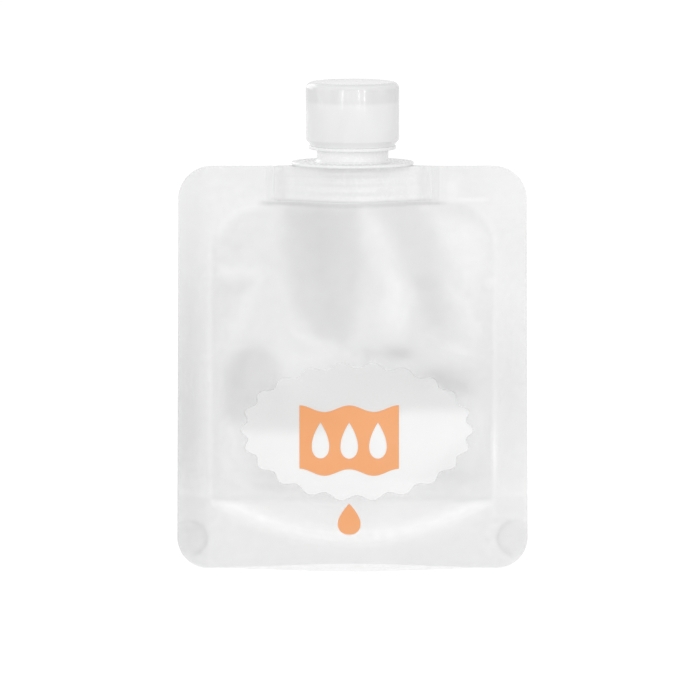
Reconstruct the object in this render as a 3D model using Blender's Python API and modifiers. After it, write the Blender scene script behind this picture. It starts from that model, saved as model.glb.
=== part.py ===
"""A collapsible bottle: a stand-up pouch of clear film with a welded spout and a screw cap.

Metres, +Z up. The pouch stands on its base edges, its printed face looks along -Y, and the spout's axis
is the Z axis. The film is drawn slightly open at the base, as when it stands empty.
"""

import math

import bmesh
import bpy
from mathutils import Matrix

# Pouch outline
BASE_WIDTH = 0.0956
TOP_WIDTH = 0.0942
POUCH_HEIGHT = 0.11
TOP_CORNER_RADIUS = 0.009
BASE_CORNER_RADIUS = 0.0085

# Film and its welds
FILM = 0.0003
WELD_GAP = 0.0003
SIDE_SEAL = 0.0092
TOP_SEAL = 0.0094
FOLD_HEIGHT = 0.0194
FOLD_WELD_MIDDLE = 0.0077
WELD_STEP_RUN = 0.005
BASE_OPENING = 0.006
ARCH_SHARE = 0.76
SPOT_WELD_RADIUS = 0.0045
SPOT_WELD_HEIGHT = 0.0082
SPOT_WELD_INSET = 0.0034

# Film round the spout, and the channel below it
BOAT_BLEND = 0.0003
TIP_FADE_SHARE = 0.2
CHANNEL_LENGTH = 0.042
CHANNEL_NARROW_SHARE = 0.35

# Spout
BOAT_LENGTH = 0.047
BOAT_TIP = 0.0005
BORE_RADIUS = 0.0065
BORE_WALL = 0.0013
RIB_COUNT = 4
RIB_DEPTH = 0.0004
FLANGE_LENGTH = 0.0332
FLANGE_DEPTH = 0.027
FLANGE = 0.0009
FLANGE_EDGE = 0.0003
NECK_BORE_RADIUS = 0.008
NECK_WALL = 0.0017
NECK_RISE = 0.01455
NECK_FILLET = 0.0006
BORE_STEP_RISE = 0.0016
RING_RISE = 0.0034
RING_REACH = 0.00205
RING = 0.0009
EDGE_BREAK = 0.0003

# Thread
THREAD_LEAD = 0.006
THREAD_STARTS = 2
THREAD_RADIUS = 0.0006
THREAD_PROUD_SHARE = 0.4
NECK_THREAD_TURNS = 0.7
CAP_THREAD_TURNS = 0.5
THREAD_TOP_MARGIN = 0.0012
THREAD_CLEARANCE = 0.00045
THREAD_TAPER_SHARE = 0.15
THREAD_POINTS = 28

# Pouring insert
SEAT_GAP = 0.0003
INSERT_FLANGE = 0.0008
INSERT_WALL = 0.001
INSERT_DEPTH = 0.005
NOZZLE_BORE_RADIUS = 0.003
NOZZLE_WALL = 0.0009
NOZZLE_HEIGHT = 0.0039
NOZZLE_TAPER = 0.0003

# Cap
CAP_WALL = 0.00165
CAP_TOP = 0.001
CAP_EDGE_RADIUS = 0.0018
CAP_RING_GAP = 0.0003
CAP_FOOT = 0.0012
CAP_FOOT_HEIGHT = 0.0014
LINER = 0.0004

# Print: a white panel, a banner on it and a drop below it
PRINT = 0.0002
PRINT_GAP = 0.0002
PANEL_LENGTH = 0.063
PANEL_HEIGHT = 0.0375
PANEL_MIDDLE_HEIGHT = 0.038
PANEL_SHIFT = 0.0012
PANEL_SCALLOP = 0.0016
PANEL_SCALLOPS = 22
PANEL_LOBE_POINTS = 6
MARK_LENGTH = 0.027
MARK_HEIGHT = 0.019
MARK_MIDDLE_HEIGHT = 0.0355
MARK_SHIFT = -0.0009
MARK_RIPPLE = 0.0009
MARK_RIPPLES = 2
WINDOW_DROPS = 3
WINDOW_SPACING = 0.0078
WINDOW_WIDTH = 0.0048
WINDOW_HEIGHT = 0.0098
SMALL_DROP_WIDTH = 0.0062
SMALL_DROP_HEIGHT = 0.0084
SMALL_DROP_MIDDLE_HEIGHT = 0.0143
DROP_WIDEST_SHARE = 0.77

# How finely round and curved surfaces are drawn
TURN_STEPS = 40
FILM_COLUMNS = 22
COLUMN_EASE = 1.25
CORNER_ROWS = 4
LOWER_ROWS = 2
BODY_ROWS = 11
GUSSET_WELD_ROWS = 4
GUSSET_ARCH_ROWS = 5
BOAT_STATIONS = 14
FILLET_STEPS = 3
DROP_POINTS = 24
RIPPLE_POINTS = 24

OVERRUN = 0.002
MERGE = 0.000001

# Heights and radii that follow
LAYER_PITCH = FILM + WELD_GAP
ROOM_TOP = POUCH_HEIGHT - TOP_SEAL
ROOM_HALF_WIDTH = BASE_WIDTH / 2 - SIDE_SEAL
FOLD_TOP = FOLD_HEIGHT + LAYER_PITCH
BOAT_HALF_DEPTH = BORE_RADIUS + BORE_WALL
FLANGE_BOTTOM = POUCH_HEIGHT + SEAT_GAP
FLANGE_TOP = FLANGE_BOTTOM + FLANGE
NECK_RADIUS = NECK_BORE_RADIUS + NECK_WALL
NECK_TOP = FLANGE_TOP + NECK_RISE
RING_BOTTOM = FLANGE_TOP + RING_RISE
RING_TOP = RING_BOTTOM + RING
THREAD_PROUD = THREAD_RADIUS * (1 + THREAD_PROUD_SHARE)
THREAD_PITCH = THREAD_LEAD / THREAD_STARTS
INSERT_BOTTOM = NECK_TOP + SEAT_GAP
INSERT_TOP = INSERT_BOTTOM + INSERT_FLANGE
NOZZLE_TOP = INSERT_TOP + NOZZLE_HEIGHT
LINER_BOTTOM = NOZZLE_TOP + SEAT_GAP
CAP_BOTTOM = RING_TOP + CAP_RING_GAP
CAP_INNER_RADIUS = NECK_RADIUS + THREAD_PROUD + THREAD_CLEARANCE
CAP_RADIUS = CAP_INNER_RADIUS + CAP_WALL
CAP_INNER_TOP = LINER_BOTTOM + LINER + SEAT_GAP
CAP_HEIGHT_TOP = CAP_INNER_TOP + CAP_TOP


def smooth(share):
    share = min(max(share, 0), 1)
    return share * share * (3 - 2 * share)


def mix(low, high, share):
    return low + (high - low) * share


def material(name, color, roughness, alpha=1):
    made = bpy.data.materials.new(name)
    made.use_nodes = True
    shader = made.node_tree.nodes["Principled BSDF"]
    shader.inputs["Base Color"].default_value = (*color, 1)
    shader.inputs["Roughness"].default_value = roughness
    shader.inputs["Metallic"].default_value = 0
    shader.inputs["Alpha"].default_value = alpha
    made.diffuse_color = (*color, alpha)
    return made


def collection(name):
    made = bpy.data.collections.new(name)
    bpy.context.scene.collection.children.link(made)
    return made


def new_object(name, mesh, group, finish=None):
    made = bpy.data.objects.new(name, mesh)
    group.objects.link(made)
    if finish:
        mesh.materials.append(finish)
    return made


def from_bmesh(name, bm, group, finish=None):
    bmesh.ops.recalc_face_normals(bm, faces=bm.faces[:])
    mesh = bpy.data.meshes.new(name)
    bm.to_mesh(mesh)
    bm.free()
    return new_object(name, mesh, group, finish)


def shade_round(part):
    part.data.shade_smooth()
    part.data.set_sharp_from_angle(angle=math.radians(35))


def make_cutter(part):
    part.hide_render = True
    part.display_type = "WIRE"


def combine(part, other, operation):
    """A Boolean of other with part. What has been joined or cut away stays as a guide that isn't rendered."""
    modifier = part.modifiers.new(f"{operation.lower()} {other.name}", "BOOLEAN")
    modifier.operation = operation
    modifier.object = other
    make_cutter(other)


# Shapes that more than one piece uses


def turned(name, profile, group, finish=None):
    """A solid of revolution. The profile is (radius, height) pairs from the top down its outer side."""
    bm = bmesh.new()
    points = [bm.verts.new((radius, 0, height)) for radius, height in profile]
    for first, second in zip(points, points[1:]):
        bm.edges.new((first, second))
    if profile[0][0] > 0:
        bm.edges.new((points[-1], points[0]))
    mesh = bpy.data.meshes.new(name)
    bm.to_mesh(mesh)
    bm.free()
    part = new_object(name, mesh, group, finish)
    screw = part.modifiers.new("turned", "SCREW")
    screw.axis = "Z"
    screw.steps = TURN_STEPS
    screw.render_steps = TURN_STEPS
    screw.use_merge_vertices = True
    screw.merge_threshold = MERGE
    return part


def fillet(radius, height, size, start, end):
    """Points of a quarter round of the given size about (radius, height), between two angles in degrees."""
    for i in range(FILLET_STEPS + 1):
        angle = math.radians(mix(start, end, i / FILLET_STEPS))
        yield radius + size * math.cos(angle), height + size * math.sin(angle)


def loft(name, rings, group, finish=None):
    """A closed solid through rings of equal count, each a list of points, from the bottom up."""
    bm = bmesh.new()
    made = [[bm.verts.new(point) for point in ring] for ring in rings]
    for low, high in zip(made, made[1:]):
        for i in range(len(low)):
            j = (i + 1) % len(low)
            bm.faces.new((low[i], low[j], high[j], high[i]))
    bm.faces.new(made[0])
    bm.faces.new(made[-1])
    return from_bmesh(name, bm, group, finish)


def prism(name, outline, near, far, group):
    """An outline of (x, z) points drawn out along Y."""
    rings = [[(x, y, z) for x, z in outline] for y in (near, far)]
    return loft(name, rings, group)


def mapped_grid(columns, rows, place):
    """An open grid whose points are placed by place(share across, row). The columns crowd to the middle."""
    bm = bmesh.new()
    bmesh.ops.create_grid(bm, x_segments=columns, y_segments=rows, size=1)
    for point in bm.verts:
        across = math.copysign(abs(point.co.x) ** COLUMN_EASE, point.co.x)
        row = round((point.co.y + 1) / 2 * rows)
        point.co = place(across, row)
    return bm


def thickened(bm, offset):
    """Turns an open sheet into a solid by drawing it out along Y, so that level edges stay level."""
    drawn = bmesh.ops.extrude_face_region(bm, geom=bm.faces[:])
    points = [item for item in drawn["geom"] if isinstance(item, bmesh.types.BMVert)]
    bmesh.ops.translate(bm, verts=points, vec=(0, offset, 0))


def helix(name, radius, start_angle, start_height, turns, group, finish=None):
    """A thread ridge: a round bar along a right-hand helix, tapering in at its ends."""
    curve = bpy.data.curves.new(name, "CURVE")
    curve.dimensions = "3D"
    curve.bevel_depth = THREAD_RADIUS
    curve.bevel_resolution = 1
    curve.use_fill_caps = True
    spline = curve.splines.new("POLY")
    spline.points.add(THREAD_POINTS)
    for i, point in enumerate(spline.points):
        share = i / THREAD_POINTS
        angle = start_angle + math.tau * turns * share
        height = start_height + THREAD_LEAD * turns * share
        point.co = (radius * math.cos(angle), radius * math.sin(angle), height, 1)
        run_in = min(share, 1 - share) / THREAD_TAPER_SHARE
        point.radius = mix(THREAD_PROUD_SHARE, 1, smooth(run_in))
    bar = bpy.data.objects.new(name, curve)
    group.objects.link(bar)
    bpy.context.view_layer.update()
    drawn = bar.evaluated_get(bpy.context.evaluated_depsgraph_get())
    mesh = bpy.data.meshes.new_from_object(drawn)
    bm = bmesh.new()
    bm.from_mesh(mesh)
    bmesh.ops.remove_doubles(bm, verts=bm.verts[:], dist=MERGE)
    ridge = from_bmesh(name + "_ridge", bm, group, finish)
    ridge.matrix_world = bar.matrix_world
    bpy.data.meshes.remove(mesh)
    bpy.data.objects.remove(bar)
    return ridge


# Where the film lies


def straight_half_width(height):
    return mix(BASE_WIDTH, TOP_WIDTH, height / POUCH_HEIGHT) / 2


def half_width(height):
    """Half the pouch's width, with its rounded corners."""
    width = straight_half_width(height)
    for radius, depth in (
        (BASE_CORNER_RADIUS, BASE_CORNER_RADIUS - height),
        (TOP_CORNER_RADIUS, height - POUCH_HEIGHT + TOP_CORNER_RADIUS),
    ):
        if depth > 0:
            width -= radius - math.sqrt(max(radius**2 - depth**2, 0))
    return width


def boat_half_depth(x):
    """The spout's weld boat in plan: round in the middle, drawn out to two fine tips."""
    share = min(abs(x) / (BOAT_LENGTH / 2), 1)
    return mix(BOAT_TIP / 2, BOAT_HALF_DEPTH, math.cos(math.pi / 2 * share) ** 2)


def channel_share(height):
    """How much of the boat's bulge the film keeps at a height: all of it at the boat, none a channel below."""
    return smooth((height - ROOM_TOP + CHANNEL_LENGTH) / CHANNEL_LENGTH)


def boat_bulge(x, height):
    """How far the film stands out where it wraps the boat, and in the narrowing channel below it."""
    share = channel_share(height)
    x = abs(x) / mix(CHANNEL_NARROW_SHARE, 1, share)
    past_tip = max(x - BOAT_LENGTH / 2, 0)
    needed = boat_half_depth(x) + WELD_GAP + FILM / 2 - LAYER_PITCH / 2 - past_tip * TIP_FADE_SHARE
    return share * (needed + math.hypot(needed, BOAT_BLEND)) / 2


def film_offset(x, height):
    """How far the middle of a film panel lies from the pouch's middle plane."""
    layers = mix(3, 1, smooth((height - FOLD_TOP) / WELD_STEP_RUN))
    open_across = smooth(1 - abs(x) / ROOM_HALF_WIDTH)
    open_down = max(1 - height / ROOM_TOP, 0)
    weld = layers * LAYER_PITCH / 2
    return weld + BASE_OPENING * open_across * open_down + boat_bulge(x, height)


def film_rows():
    """Heights of the film's rows: fine in the corners and at the fold, even between."""
    rows = {0.0, POUCH_HEIGHT, FOLD_TOP, FOLD_TOP + WELD_STEP_RUN, ROOM_TOP}
    for i in range(CORNER_ROWS + 1):
        angle = math.pi / 2 * i / CORNER_ROWS
        rows.add(BASE_CORNER_RADIUS * (1 - math.cos(angle)))
        rows.add(POUCH_HEIGHT - TOP_CORNER_RADIUS * (1 - math.sin(angle)))
    for i in range(1, LOWER_ROWS):
        rows.add(mix(BASE_CORNER_RADIUS, FOLD_TOP, i / LOWER_ROWS))
    for i in range(1, BODY_ROWS):
        rows.add(mix(FOLD_TOP + WELD_STEP_RUN, ROOM_TOP, i / BODY_ROWS))
    kept = []
    for height in sorted(rows):
        if not kept or height - kept[-1] > 2 * FILM:
            kept.append(height)
    kept[-1] = POUCH_HEIGHT
    return kept


def film_sheet(side, out, thickness):
    """A solid sheet that follows a panel, its inner face out from the panel's middle by the given distance."""
    rows = film_rows()

    def place(across, row):
        height = rows[row]
        x = across * half_width(height)
        return x, side * (film_offset(x, height) + out), height

    bm = mapped_grid(FILM_COLUMNS, len(rows) - 1, place)
    thickened(bm, side * thickness)
    return bm


# Pieces


def film_panel(name, side, group, finish):
    panel = from_bmesh(name, film_sheet(side, -FILM / 2, FILM), group, finish)
    shade_round(panel)
    return panel


def weld_height(x):
    """The top of the weld between a panel and the gusset, which dips in an arc in the middle."""
    share = min(abs(x) / ROOM_HALF_WIDTH, 1)
    return mix(FOLD_WELD_MIDDLE, FOLD_HEIGHT, share**2)


def gusset(group, cutters, finish):
    """The base sheet: welded inside both panels up to the arc, then folded over between them."""
    half = GUSSET_WELD_ROWS + GUSSET_ARCH_ROWS

    def place(across, row):
        side = -1 if row <= half else 1
        row = min(row, 2 * half - row)
        weld_top = weld_height(across * straight_half_width(FOLD_HEIGHT))
        height = weld_top * min(row / GUSSET_WELD_ROWS, 1)
        x = across * half_width(height)
        y = film_offset(x, height) - LAYER_PITCH
        if row > GUSSET_WELD_ROWS:
            angle = math.pi / 2 * (row - GUSSET_WELD_ROWS) / GUSSET_ARCH_ROWS
            rise = LAYER_PITCH / 2 + ARCH_SHARE * (FOLD_HEIGHT - weld_top)
            height += rise * math.sin(angle)
            y *= math.cos(angle)
        return x, side * y, height

    bm = mapped_grid(FILM_COLUMNS, 2 * half, place)
    sheet = from_bmesh("bottom_gusset", bm, group, finish)
    solidify = sheet.modifiers.new("film", "SOLIDIFY")
    solidify.thickness = FILM
    solidify.offset = 0
    solidify.use_even_offset = True
    for side in (-1, 1):
        notch = round_bar(f"spot_weld_notch_{'left' if side < 0 else 'right'}", cutters)
        notch.location.x = side * (straight_half_width(SPOT_WELD_HEIGHT) - SPOT_WELD_INSET)
        notch.location.z = SPOT_WELD_HEIGHT
        combine(sheet, notch, "DIFFERENCE")
    return sheet


def round_bar(name, group):
    """A bar along Y for the notch that lets the two panels weld to each other."""
    bm = bmesh.new()
    bmesh.ops.create_cone(
        bm,
        cap_ends=True,
        segments=TURN_STEPS // 2,
        radius1=SPOT_WELD_RADIUS,
        radius2=SPOT_WELD_RADIUS,
        depth=2 * (LAYER_PITCH + OVERRUN),
        matrix=Matrix.Rotation(math.pi / 2, 4, "X"),
    )
    return from_bmesh(name, bm, group)


def boat(group):
    """The weld boat, with ribs round it for the film to weld to."""
    stations = [
        -BOAT_LENGTH / 2 * math.cos(math.pi * i / BOAT_STATIONS)
        for i in range(BOAT_STATIONS + 1)
    ]
    rib = TOP_SEAL / (2 * RIB_COUNT)
    slope = min(RIB_DEPTH, rib / 3)
    levels = []
    for i in range(RIB_COUNT):
        low = ROOM_TOP + 2 * rib * i
        levels += [(low, 0), (low + rib, 0), (low + rib + slope, RIB_DEPTH), (low + 2 * rib - slope, RIB_DEPTH)]
    levels.append((POUCH_HEIGHT, 0))
    rings = []
    for height, inset in levels:
        ring = []
        for side in (-1, 1):
            for x in stations[::-side]:
                depth = boat_half_depth(x)
                depth -= inset * (depth - BOAT_TIP / 2) / BOAT_HALF_DEPTH
                ring.append((x, side * depth, height))
        rings.append(ring)
    return loft("weld_boat", rings, group)


def flange(group):
    """The oval plate over the pouch's top edge."""
    rings = []
    for height, inset in (
        (FLANGE_BOTTOM, FLANGE_EDGE),
        (FLANGE_BOTTOM + FLANGE_EDGE, 0),
        (FLANGE_TOP - FLANGE_EDGE, 0),
        (FLANGE_TOP, FLANGE_EDGE),
    ):
        ring = []
        for i in range(TURN_STEPS):
            angle = math.tau * i / TURN_STEPS
            x = (FLANGE_LENGTH / 2 - inset) * math.cos(angle)
            y = (FLANGE_DEPTH / 2 - inset) * math.sin(angle)
            ring.append((x, y, height))
        rings.append(ring)
    return loft("flange", rings, group)


def neck_profile():
    """The neck from its rim down through the flange into the boat, with the ring that stands under the cap."""
    ring_radius = NECK_RADIUS + RING_REACH
    edge = min(EDGE_BREAK, RING / 3)
    return [
        (0, NECK_TOP),
        (NECK_RADIUS - edge, NECK_TOP),
        (NECK_RADIUS, NECK_TOP - edge),
        (NECK_RADIUS, RING_TOP + edge),
        (NECK_RADIUS + edge, RING_TOP),
        (ring_radius - edge, RING_TOP),
        (ring_radius, RING_TOP - edge),
        (ring_radius, RING_BOTTOM + edge),
        (ring_radius - edge, RING_BOTTOM),
        (NECK_RADIUS, RING_BOTTOM),
        (NECK_RADIUS, FLANGE_TOP + NECK_FILLET),
        (NECK_RADIUS + NECK_FILLET, FLANGE_TOP),
        (NECK_RADIUS + NECK_FILLET, FLANGE_BOTTOM + FLANGE / 2),
        (BOAT_HALF_DEPTH, FLANGE_BOTTOM + FLANGE / 2),
        (BOAT_HALF_DEPTH, ROOM_TOP + TOP_SEAL / 2),
        (0, ROOM_TOP + TOP_SEAL / 2),
    ]


def bore_profile():
    """The way through the spout: narrow in the boat, wider in the neck, where the insert sits."""
    step = FLANGE_TOP + BORE_STEP_RISE
    slope = abs(NECK_BORE_RADIUS - BORE_RADIUS)
    return [
        (0, NECK_TOP + OVERRUN),
        (NECK_BORE_RADIUS, NECK_TOP + OVERRUN),
        (NECK_BORE_RADIUS, step),
        (BORE_RADIUS, step - slope),
        (BORE_RADIUS, ROOM_TOP - OVERRUN),
        (0, ROOM_TOP - OVERRUN),
    ]


def thread_ridges(name, radius, base, turns, group):
    return [
        helix(f"{name}_{i + 1}", radius, math.tau * i / THREAD_STARTS, base, turns, group)
        for i in range(THREAD_STARTS)
    ]


def neck_thread_base():
    rise = THREAD_LEAD * NECK_THREAD_TURNS
    return NECK_TOP - THREAD_TOP_MARGIN - rise


def spout(group, cutters, finish):
    made = turned("spout", neck_profile(), group, finish)
    combine(made, flange(cutters), "UNION")
    combine(made, boat(cutters), "UNION")
    radius = NECK_RADIUS + THREAD_PROUD_SHARE * THREAD_RADIUS
    for ridge in thread_ridges("neck_thread", radius, neck_thread_base(), NECK_THREAD_TURNS, cutters):
        combine(made, ridge, "UNION")
    combine(made, turned("spout_bore", bore_profile(), cutters), "DIFFERENCE")
    shade_round(made)
    return made


def pour_insert(group, finish):
    """The press-in plug whose nozzle meters the flow. Its flange sits on the neck's rim."""
    skirt = NECK_BORE_RADIUS - SEAT_GAP
    rim = NECK_RADIUS - EDGE_BREAK
    edge = min(EDGE_BREAK, INSERT_FLANGE / 3)
    foot = INSERT_BOTTOM - INSERT_DEPTH
    tip = NOZZLE_BORE_RADIUS + NOZZLE_WALL - NOZZLE_TAPER
    web = INSERT_BOTTOM
    profile = [
        (NOZZLE_BORE_RADIUS, NOZZLE_TOP),
        (tip - edge, NOZZLE_TOP),
        (tip, NOZZLE_TOP - edge),
        (NOZZLE_BORE_RADIUS + NOZZLE_WALL, INSERT_TOP),
        (rim - edge, INSERT_TOP),
        (rim, INSERT_TOP - edge),
        (rim, INSERT_BOTTOM),
        (skirt, INSERT_BOTTOM),
        (skirt, foot + edge),
        (skirt - edge, foot),
        (skirt - INSERT_WALL, foot),
        (skirt - INSERT_WALL, web),
        (NOZZLE_BORE_RADIUS, web),
    ]
    made = turned("pour_insert", profile, group, finish)
    shade_round(made)
    return made


def cap_profile():
    """The cap's section: crown, rounded shoulder, smooth side and a foot drawn slightly in."""
    shoulder = CAP_HEIGHT_TOP - CAP_EDGE_RADIUS
    edge = min(EDGE_BREAK, CAP_WALL / 4)
    return [
        (0, CAP_HEIGHT_TOP),
        *fillet(CAP_RADIUS - CAP_EDGE_RADIUS, shoulder, CAP_EDGE_RADIUS, 90, 0),
        (CAP_RADIUS, CAP_BOTTOM + CAP_FOOT_HEIGHT),
        (CAP_RADIUS - CAP_FOOT, CAP_BOTTOM),
        (CAP_INNER_RADIUS + edge, CAP_BOTTOM),
        (CAP_INNER_RADIUS, CAP_BOTTOM + edge),
        (CAP_INNER_RADIUS, CAP_INNER_TOP),
        (0, CAP_INNER_TOP),
    ]


def screw_cap(group, cutters, finish):
    made = turned("screw_cap", cap_profile(), group, finish)
    radius = CAP_INNER_RADIUS - THREAD_PROUD_SHARE * THREAD_RADIUS
    base = neck_thread_base() + THREAD_PITCH / 2
    for ridge in thread_ridges("cap_thread", radius, base, CAP_THREAD_TURNS, cutters):
        combine(made, ridge, "UNION")
    shade_round(made)
    return made


def cap_liner(group, finish):
    """The sealing disc under the crown."""
    radius = CAP_INNER_RADIUS - SEAT_GAP
    top = LINER_BOTTOM + LINER
    profile = [(0, top), (radius, top), (radius, LINER_BOTTOM), (0, LINER_BOTTOM)]
    made = turned("cap_liner", profile, group, finish)
    shade_round(made)
    return made


# Print


def panel_outline():
    """A wide oval with an evenly scalloped edge."""
    points = []
    count = PANEL_SCALLOPS * PANEL_LOBE_POINTS
    for i in range(count):
        angle = math.tau * i / count
        dip = PANEL_SCALLOP / 2 * (1 - math.cos(PANEL_SCALLOPS * angle))
        x = PANEL_SHIFT + (PANEL_LENGTH / 2 - dip) * math.cos(angle)
        z = PANEL_MIDDLE_HEIGHT + (PANEL_HEIGHT / 2 - dip) * math.sin(angle)
        points.append((x, z))
    return points


def drop_outline(x, middle, width, height):
    """A falling drop about (x, middle): a round foot whose sides run up to a point."""
    points = []
    for i in range(DROP_POINTS):
        angle = math.tau * i / DROP_POINTS
        lean = math.sin(angle) * math.sin(angle / 2) / DROP_WIDEST_SHARE
        points.append((x + width / 2 * lean, middle + height / 2 * math.cos(angle)))
    return points


def banner_outline():
    """An upright banner whose upper and lower edges ripple alike."""
    half = MARK_HEIGHT / 2 - MARK_RIPPLE

    def edge(i, side):
        across = i / RIPPLE_POINTS - 1 / 2
        ripple = MARK_RIPPLE * math.cos(MARK_RIPPLES * math.tau * across)
        return MARK_SHIFT + MARK_LENGTH * across, MARK_MIDDLE_HEIGHT + side * half + ripple

    lower = [edge(i, -1) for i in range(RIPPLE_POINTS + 1)]
    upper = [edge(i, 1) for i in range(RIPPLE_POINTS, -1, -1)]
    return lower + upper


def print_patch(name, outline, layer, group, cutters, finish):
    """A thin printed patch that follows the front panel. Layer 0 lies on the film, layer 1 on layer 0."""
    out = FILM / 2 + PRINT_GAP + layer * (PRINT + PRINT_GAP)
    patch = from_bmesh(name, film_sheet(-1, out, PRINT), group, finish)
    deepest = -(BOAT_HALF_DEPTH + BASE_OPENING + OVERRUN)
    cutter = prism(name + "_outline", outline, deepest, 0, cutters)
    combine(patch, cutter, "INTERSECT")
    shade_round(patch)
    return patch


def banner(group, cutters, finish):
    """The orange mark: a rippled banner with a row of drop-shaped windows."""
    mark = print_patch("label_motif", banner_outline(), 1, group, cutters, finish)
    deepest = -(BOAT_HALF_DEPTH + BASE_OPENING + OVERRUN)
    for i in range(WINDOW_DROPS):
        x = MARK_SHIFT + WINDOW_SPACING * (i - (WINDOW_DROPS - 1) / 2)
        outline = drop_outline(x, MARK_MIDDLE_HEIGHT, WINDOW_WIDTH, WINDOW_HEIGHT)
        combine(mark, prism(f"drop_window_{i + 1}", outline, deepest, 0, cutters), "DIFFERENCE")
    return mark


def carrier(name, place, pieces, group):
    """An empty on a joint's axis that carries the pieces which move about it."""
    axis = bpy.data.objects.new(name, None)
    axis.location = place
    group.objects.link(axis)
    bpy.context.view_layer.update()
    for piece in pieces:
        piece.parent = axis
        piece.matrix_parent_inverse = axis.matrix_world.inverted()


def main():
    for old in list(bpy.data.objects):
        bpy.data.objects.remove(old)
    parts = collection("collapsible_bottle")
    cutters = collection("cutters")

    clear_film = material("clear_film", (0.86, 0.87, 0.88), 0.12, 0.35)
    gusset_film = material("gusset_film", (0.84, 0.85, 0.86), 0.15, 0.4)
    spout_plastic = material("spout_plastic", (0.88, 0.89, 0.89), 0.3, 0.8)
    insert_plastic = material("insert_plastic", (0.9, 0.9, 0.9), 0.35, 0.85)
    cap_plastic = material("cap_plastic", (0.9, 0.91, 0.91), 0.28, 0.7)
    liner_foam = material("liner_foam", (0.93, 0.93, 0.92), 0.6)
    white_print = material("white_print", (0.93, 0.93, 0.93), 0.45)
    orange_print = material("orange_print", (0.9, 0.33, 0.12), 0.45)

    front = film_panel("front_film", -1, parts, clear_film)
    back = film_panel("back_film", 1, parts, clear_film)
    gusset(parts, cutters, gusset_film)
    spout(parts, cutters, spout_plastic)
    pour_insert(parts, insert_plastic)
    cap = screw_cap(parts, cutters, cap_plastic)
    liner = cap_liner(parts, liner_foam)
    label = print_patch("front_label", panel_outline(), 0, parts, cutters, white_print)
    mark = banner(parts, cutters, orange_print)
    small_outline = drop_outline(MARK_SHIFT, SMALL_DROP_MIDDLE_HEIGHT, SMALL_DROP_WIDTH, SMALL_DROP_HEIGHT)
    drop = print_patch("small_drop", small_outline, 0, parts, cutters, orange_print)

    carrier("front_fold_axis", (0, 0, ROOM_TOP), (front, label, mark, drop), parts)
    carrier("back_fold_axis", (0, 0, ROOM_TOP), (back,), parts)
    carrier("cap_axis", (0, 0, CAP_BOTTOM), (cap, liner), parts)


main()
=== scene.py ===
"""Looks for a collapsible bottle: a stand-up pouch of clear film with a welded spout and a screw cap.

Metres, +Z up, the printed face towards -Y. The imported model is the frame, and every piece here is built
round it from the same sizes as the part's source.
"""

from math import ceil, cos, dist, pi, radians, sin, tau

import bmesh
import bpy
import numpy as np
from mathutils import Matrix, Vector
from mathutils.geometry import delaunay_2d_cdt

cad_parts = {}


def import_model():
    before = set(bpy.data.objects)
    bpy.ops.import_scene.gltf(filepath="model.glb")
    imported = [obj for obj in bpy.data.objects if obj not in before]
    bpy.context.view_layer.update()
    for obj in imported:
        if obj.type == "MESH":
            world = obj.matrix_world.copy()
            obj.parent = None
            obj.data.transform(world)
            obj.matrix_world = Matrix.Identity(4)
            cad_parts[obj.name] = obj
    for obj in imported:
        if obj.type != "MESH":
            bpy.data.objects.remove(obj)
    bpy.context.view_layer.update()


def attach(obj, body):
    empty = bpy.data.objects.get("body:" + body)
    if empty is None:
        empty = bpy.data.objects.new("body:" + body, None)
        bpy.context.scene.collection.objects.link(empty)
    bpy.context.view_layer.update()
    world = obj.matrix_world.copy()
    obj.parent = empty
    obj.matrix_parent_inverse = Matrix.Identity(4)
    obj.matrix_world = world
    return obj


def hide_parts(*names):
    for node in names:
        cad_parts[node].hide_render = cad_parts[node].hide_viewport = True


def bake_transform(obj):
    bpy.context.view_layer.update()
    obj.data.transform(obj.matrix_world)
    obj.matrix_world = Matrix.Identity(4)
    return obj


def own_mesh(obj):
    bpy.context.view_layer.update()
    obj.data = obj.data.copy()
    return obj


# Sizes of the part, as in its source
BASE_WIDTH = 0.0956
TOP_WIDTH = 0.0942
POUCH_HEIGHT = 0.11
TOP_CORNER_RADIUS = 0.009
BASE_CORNER_RADIUS = 0.0085
FILM = 0.0003
WELD_GAP = 0.0003
SIDE_SEAL = 0.0092
TOP_SEAL = 0.0094
FOLD_HEIGHT = 0.0194
FOLD_WELD_MIDDLE = 0.0077
WELD_STEP_RUN = 0.005
BASE_OPENING = 0.006
ARCH_SHARE = 0.76
SPOT_WELD_RADIUS = 0.0045
SPOT_WELD_HEIGHT = 0.0082
SPOT_WELD_INSET = 0.0034
BOAT_BLEND = 0.0003
TIP_FADE_SHARE = 0.2
CHANNEL_LENGTH = 0.042
CHANNEL_NARROW_SHARE = 0.35
BOAT_LENGTH = 0.047
BOAT_TIP = 0.0005
BORE_RADIUS = 0.0065
BORE_WALL = 0.0013
RIB_COUNT = 4
RIB_DEPTH = 0.0004
FLANGE_LENGTH = 0.0332
FLANGE_DEPTH = 0.027
FLANGE = 0.0009
NECK_BORE_RADIUS = 0.008
NECK_WALL = 0.0017
NECK_RISE = 0.01455
NECK_FILLET = 0.0006
BORE_STEP_RISE = 0.0016
RING_RISE = 0.0034
RING_REACH = 0.00205
RING = 0.0009
THREAD_LEAD = 0.006
THREAD_STARTS = 2
THREAD_RADIUS = 0.0006
THREAD_PROUD_SHARE = 0.4
NECK_THREAD_TURNS = 0.7
CAP_THREAD_TURNS = 0.5
THREAD_TOP_MARGIN = 0.0012
THREAD_CLEARANCE = 0.00045
THREAD_TAPER_SHARE = 0.15
SEAT_GAP = 0.0003
INSERT_FLANGE = 0.0008
INSERT_WALL = 0.001
INSERT_DEPTH = 0.005
NOZZLE_BORE_RADIUS = 0.003
NOZZLE_WALL = 0.0009
NOZZLE_HEIGHT = 0.0039
NOZZLE_TAPER = 0.0003
CAP_WALL = 0.00165
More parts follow.
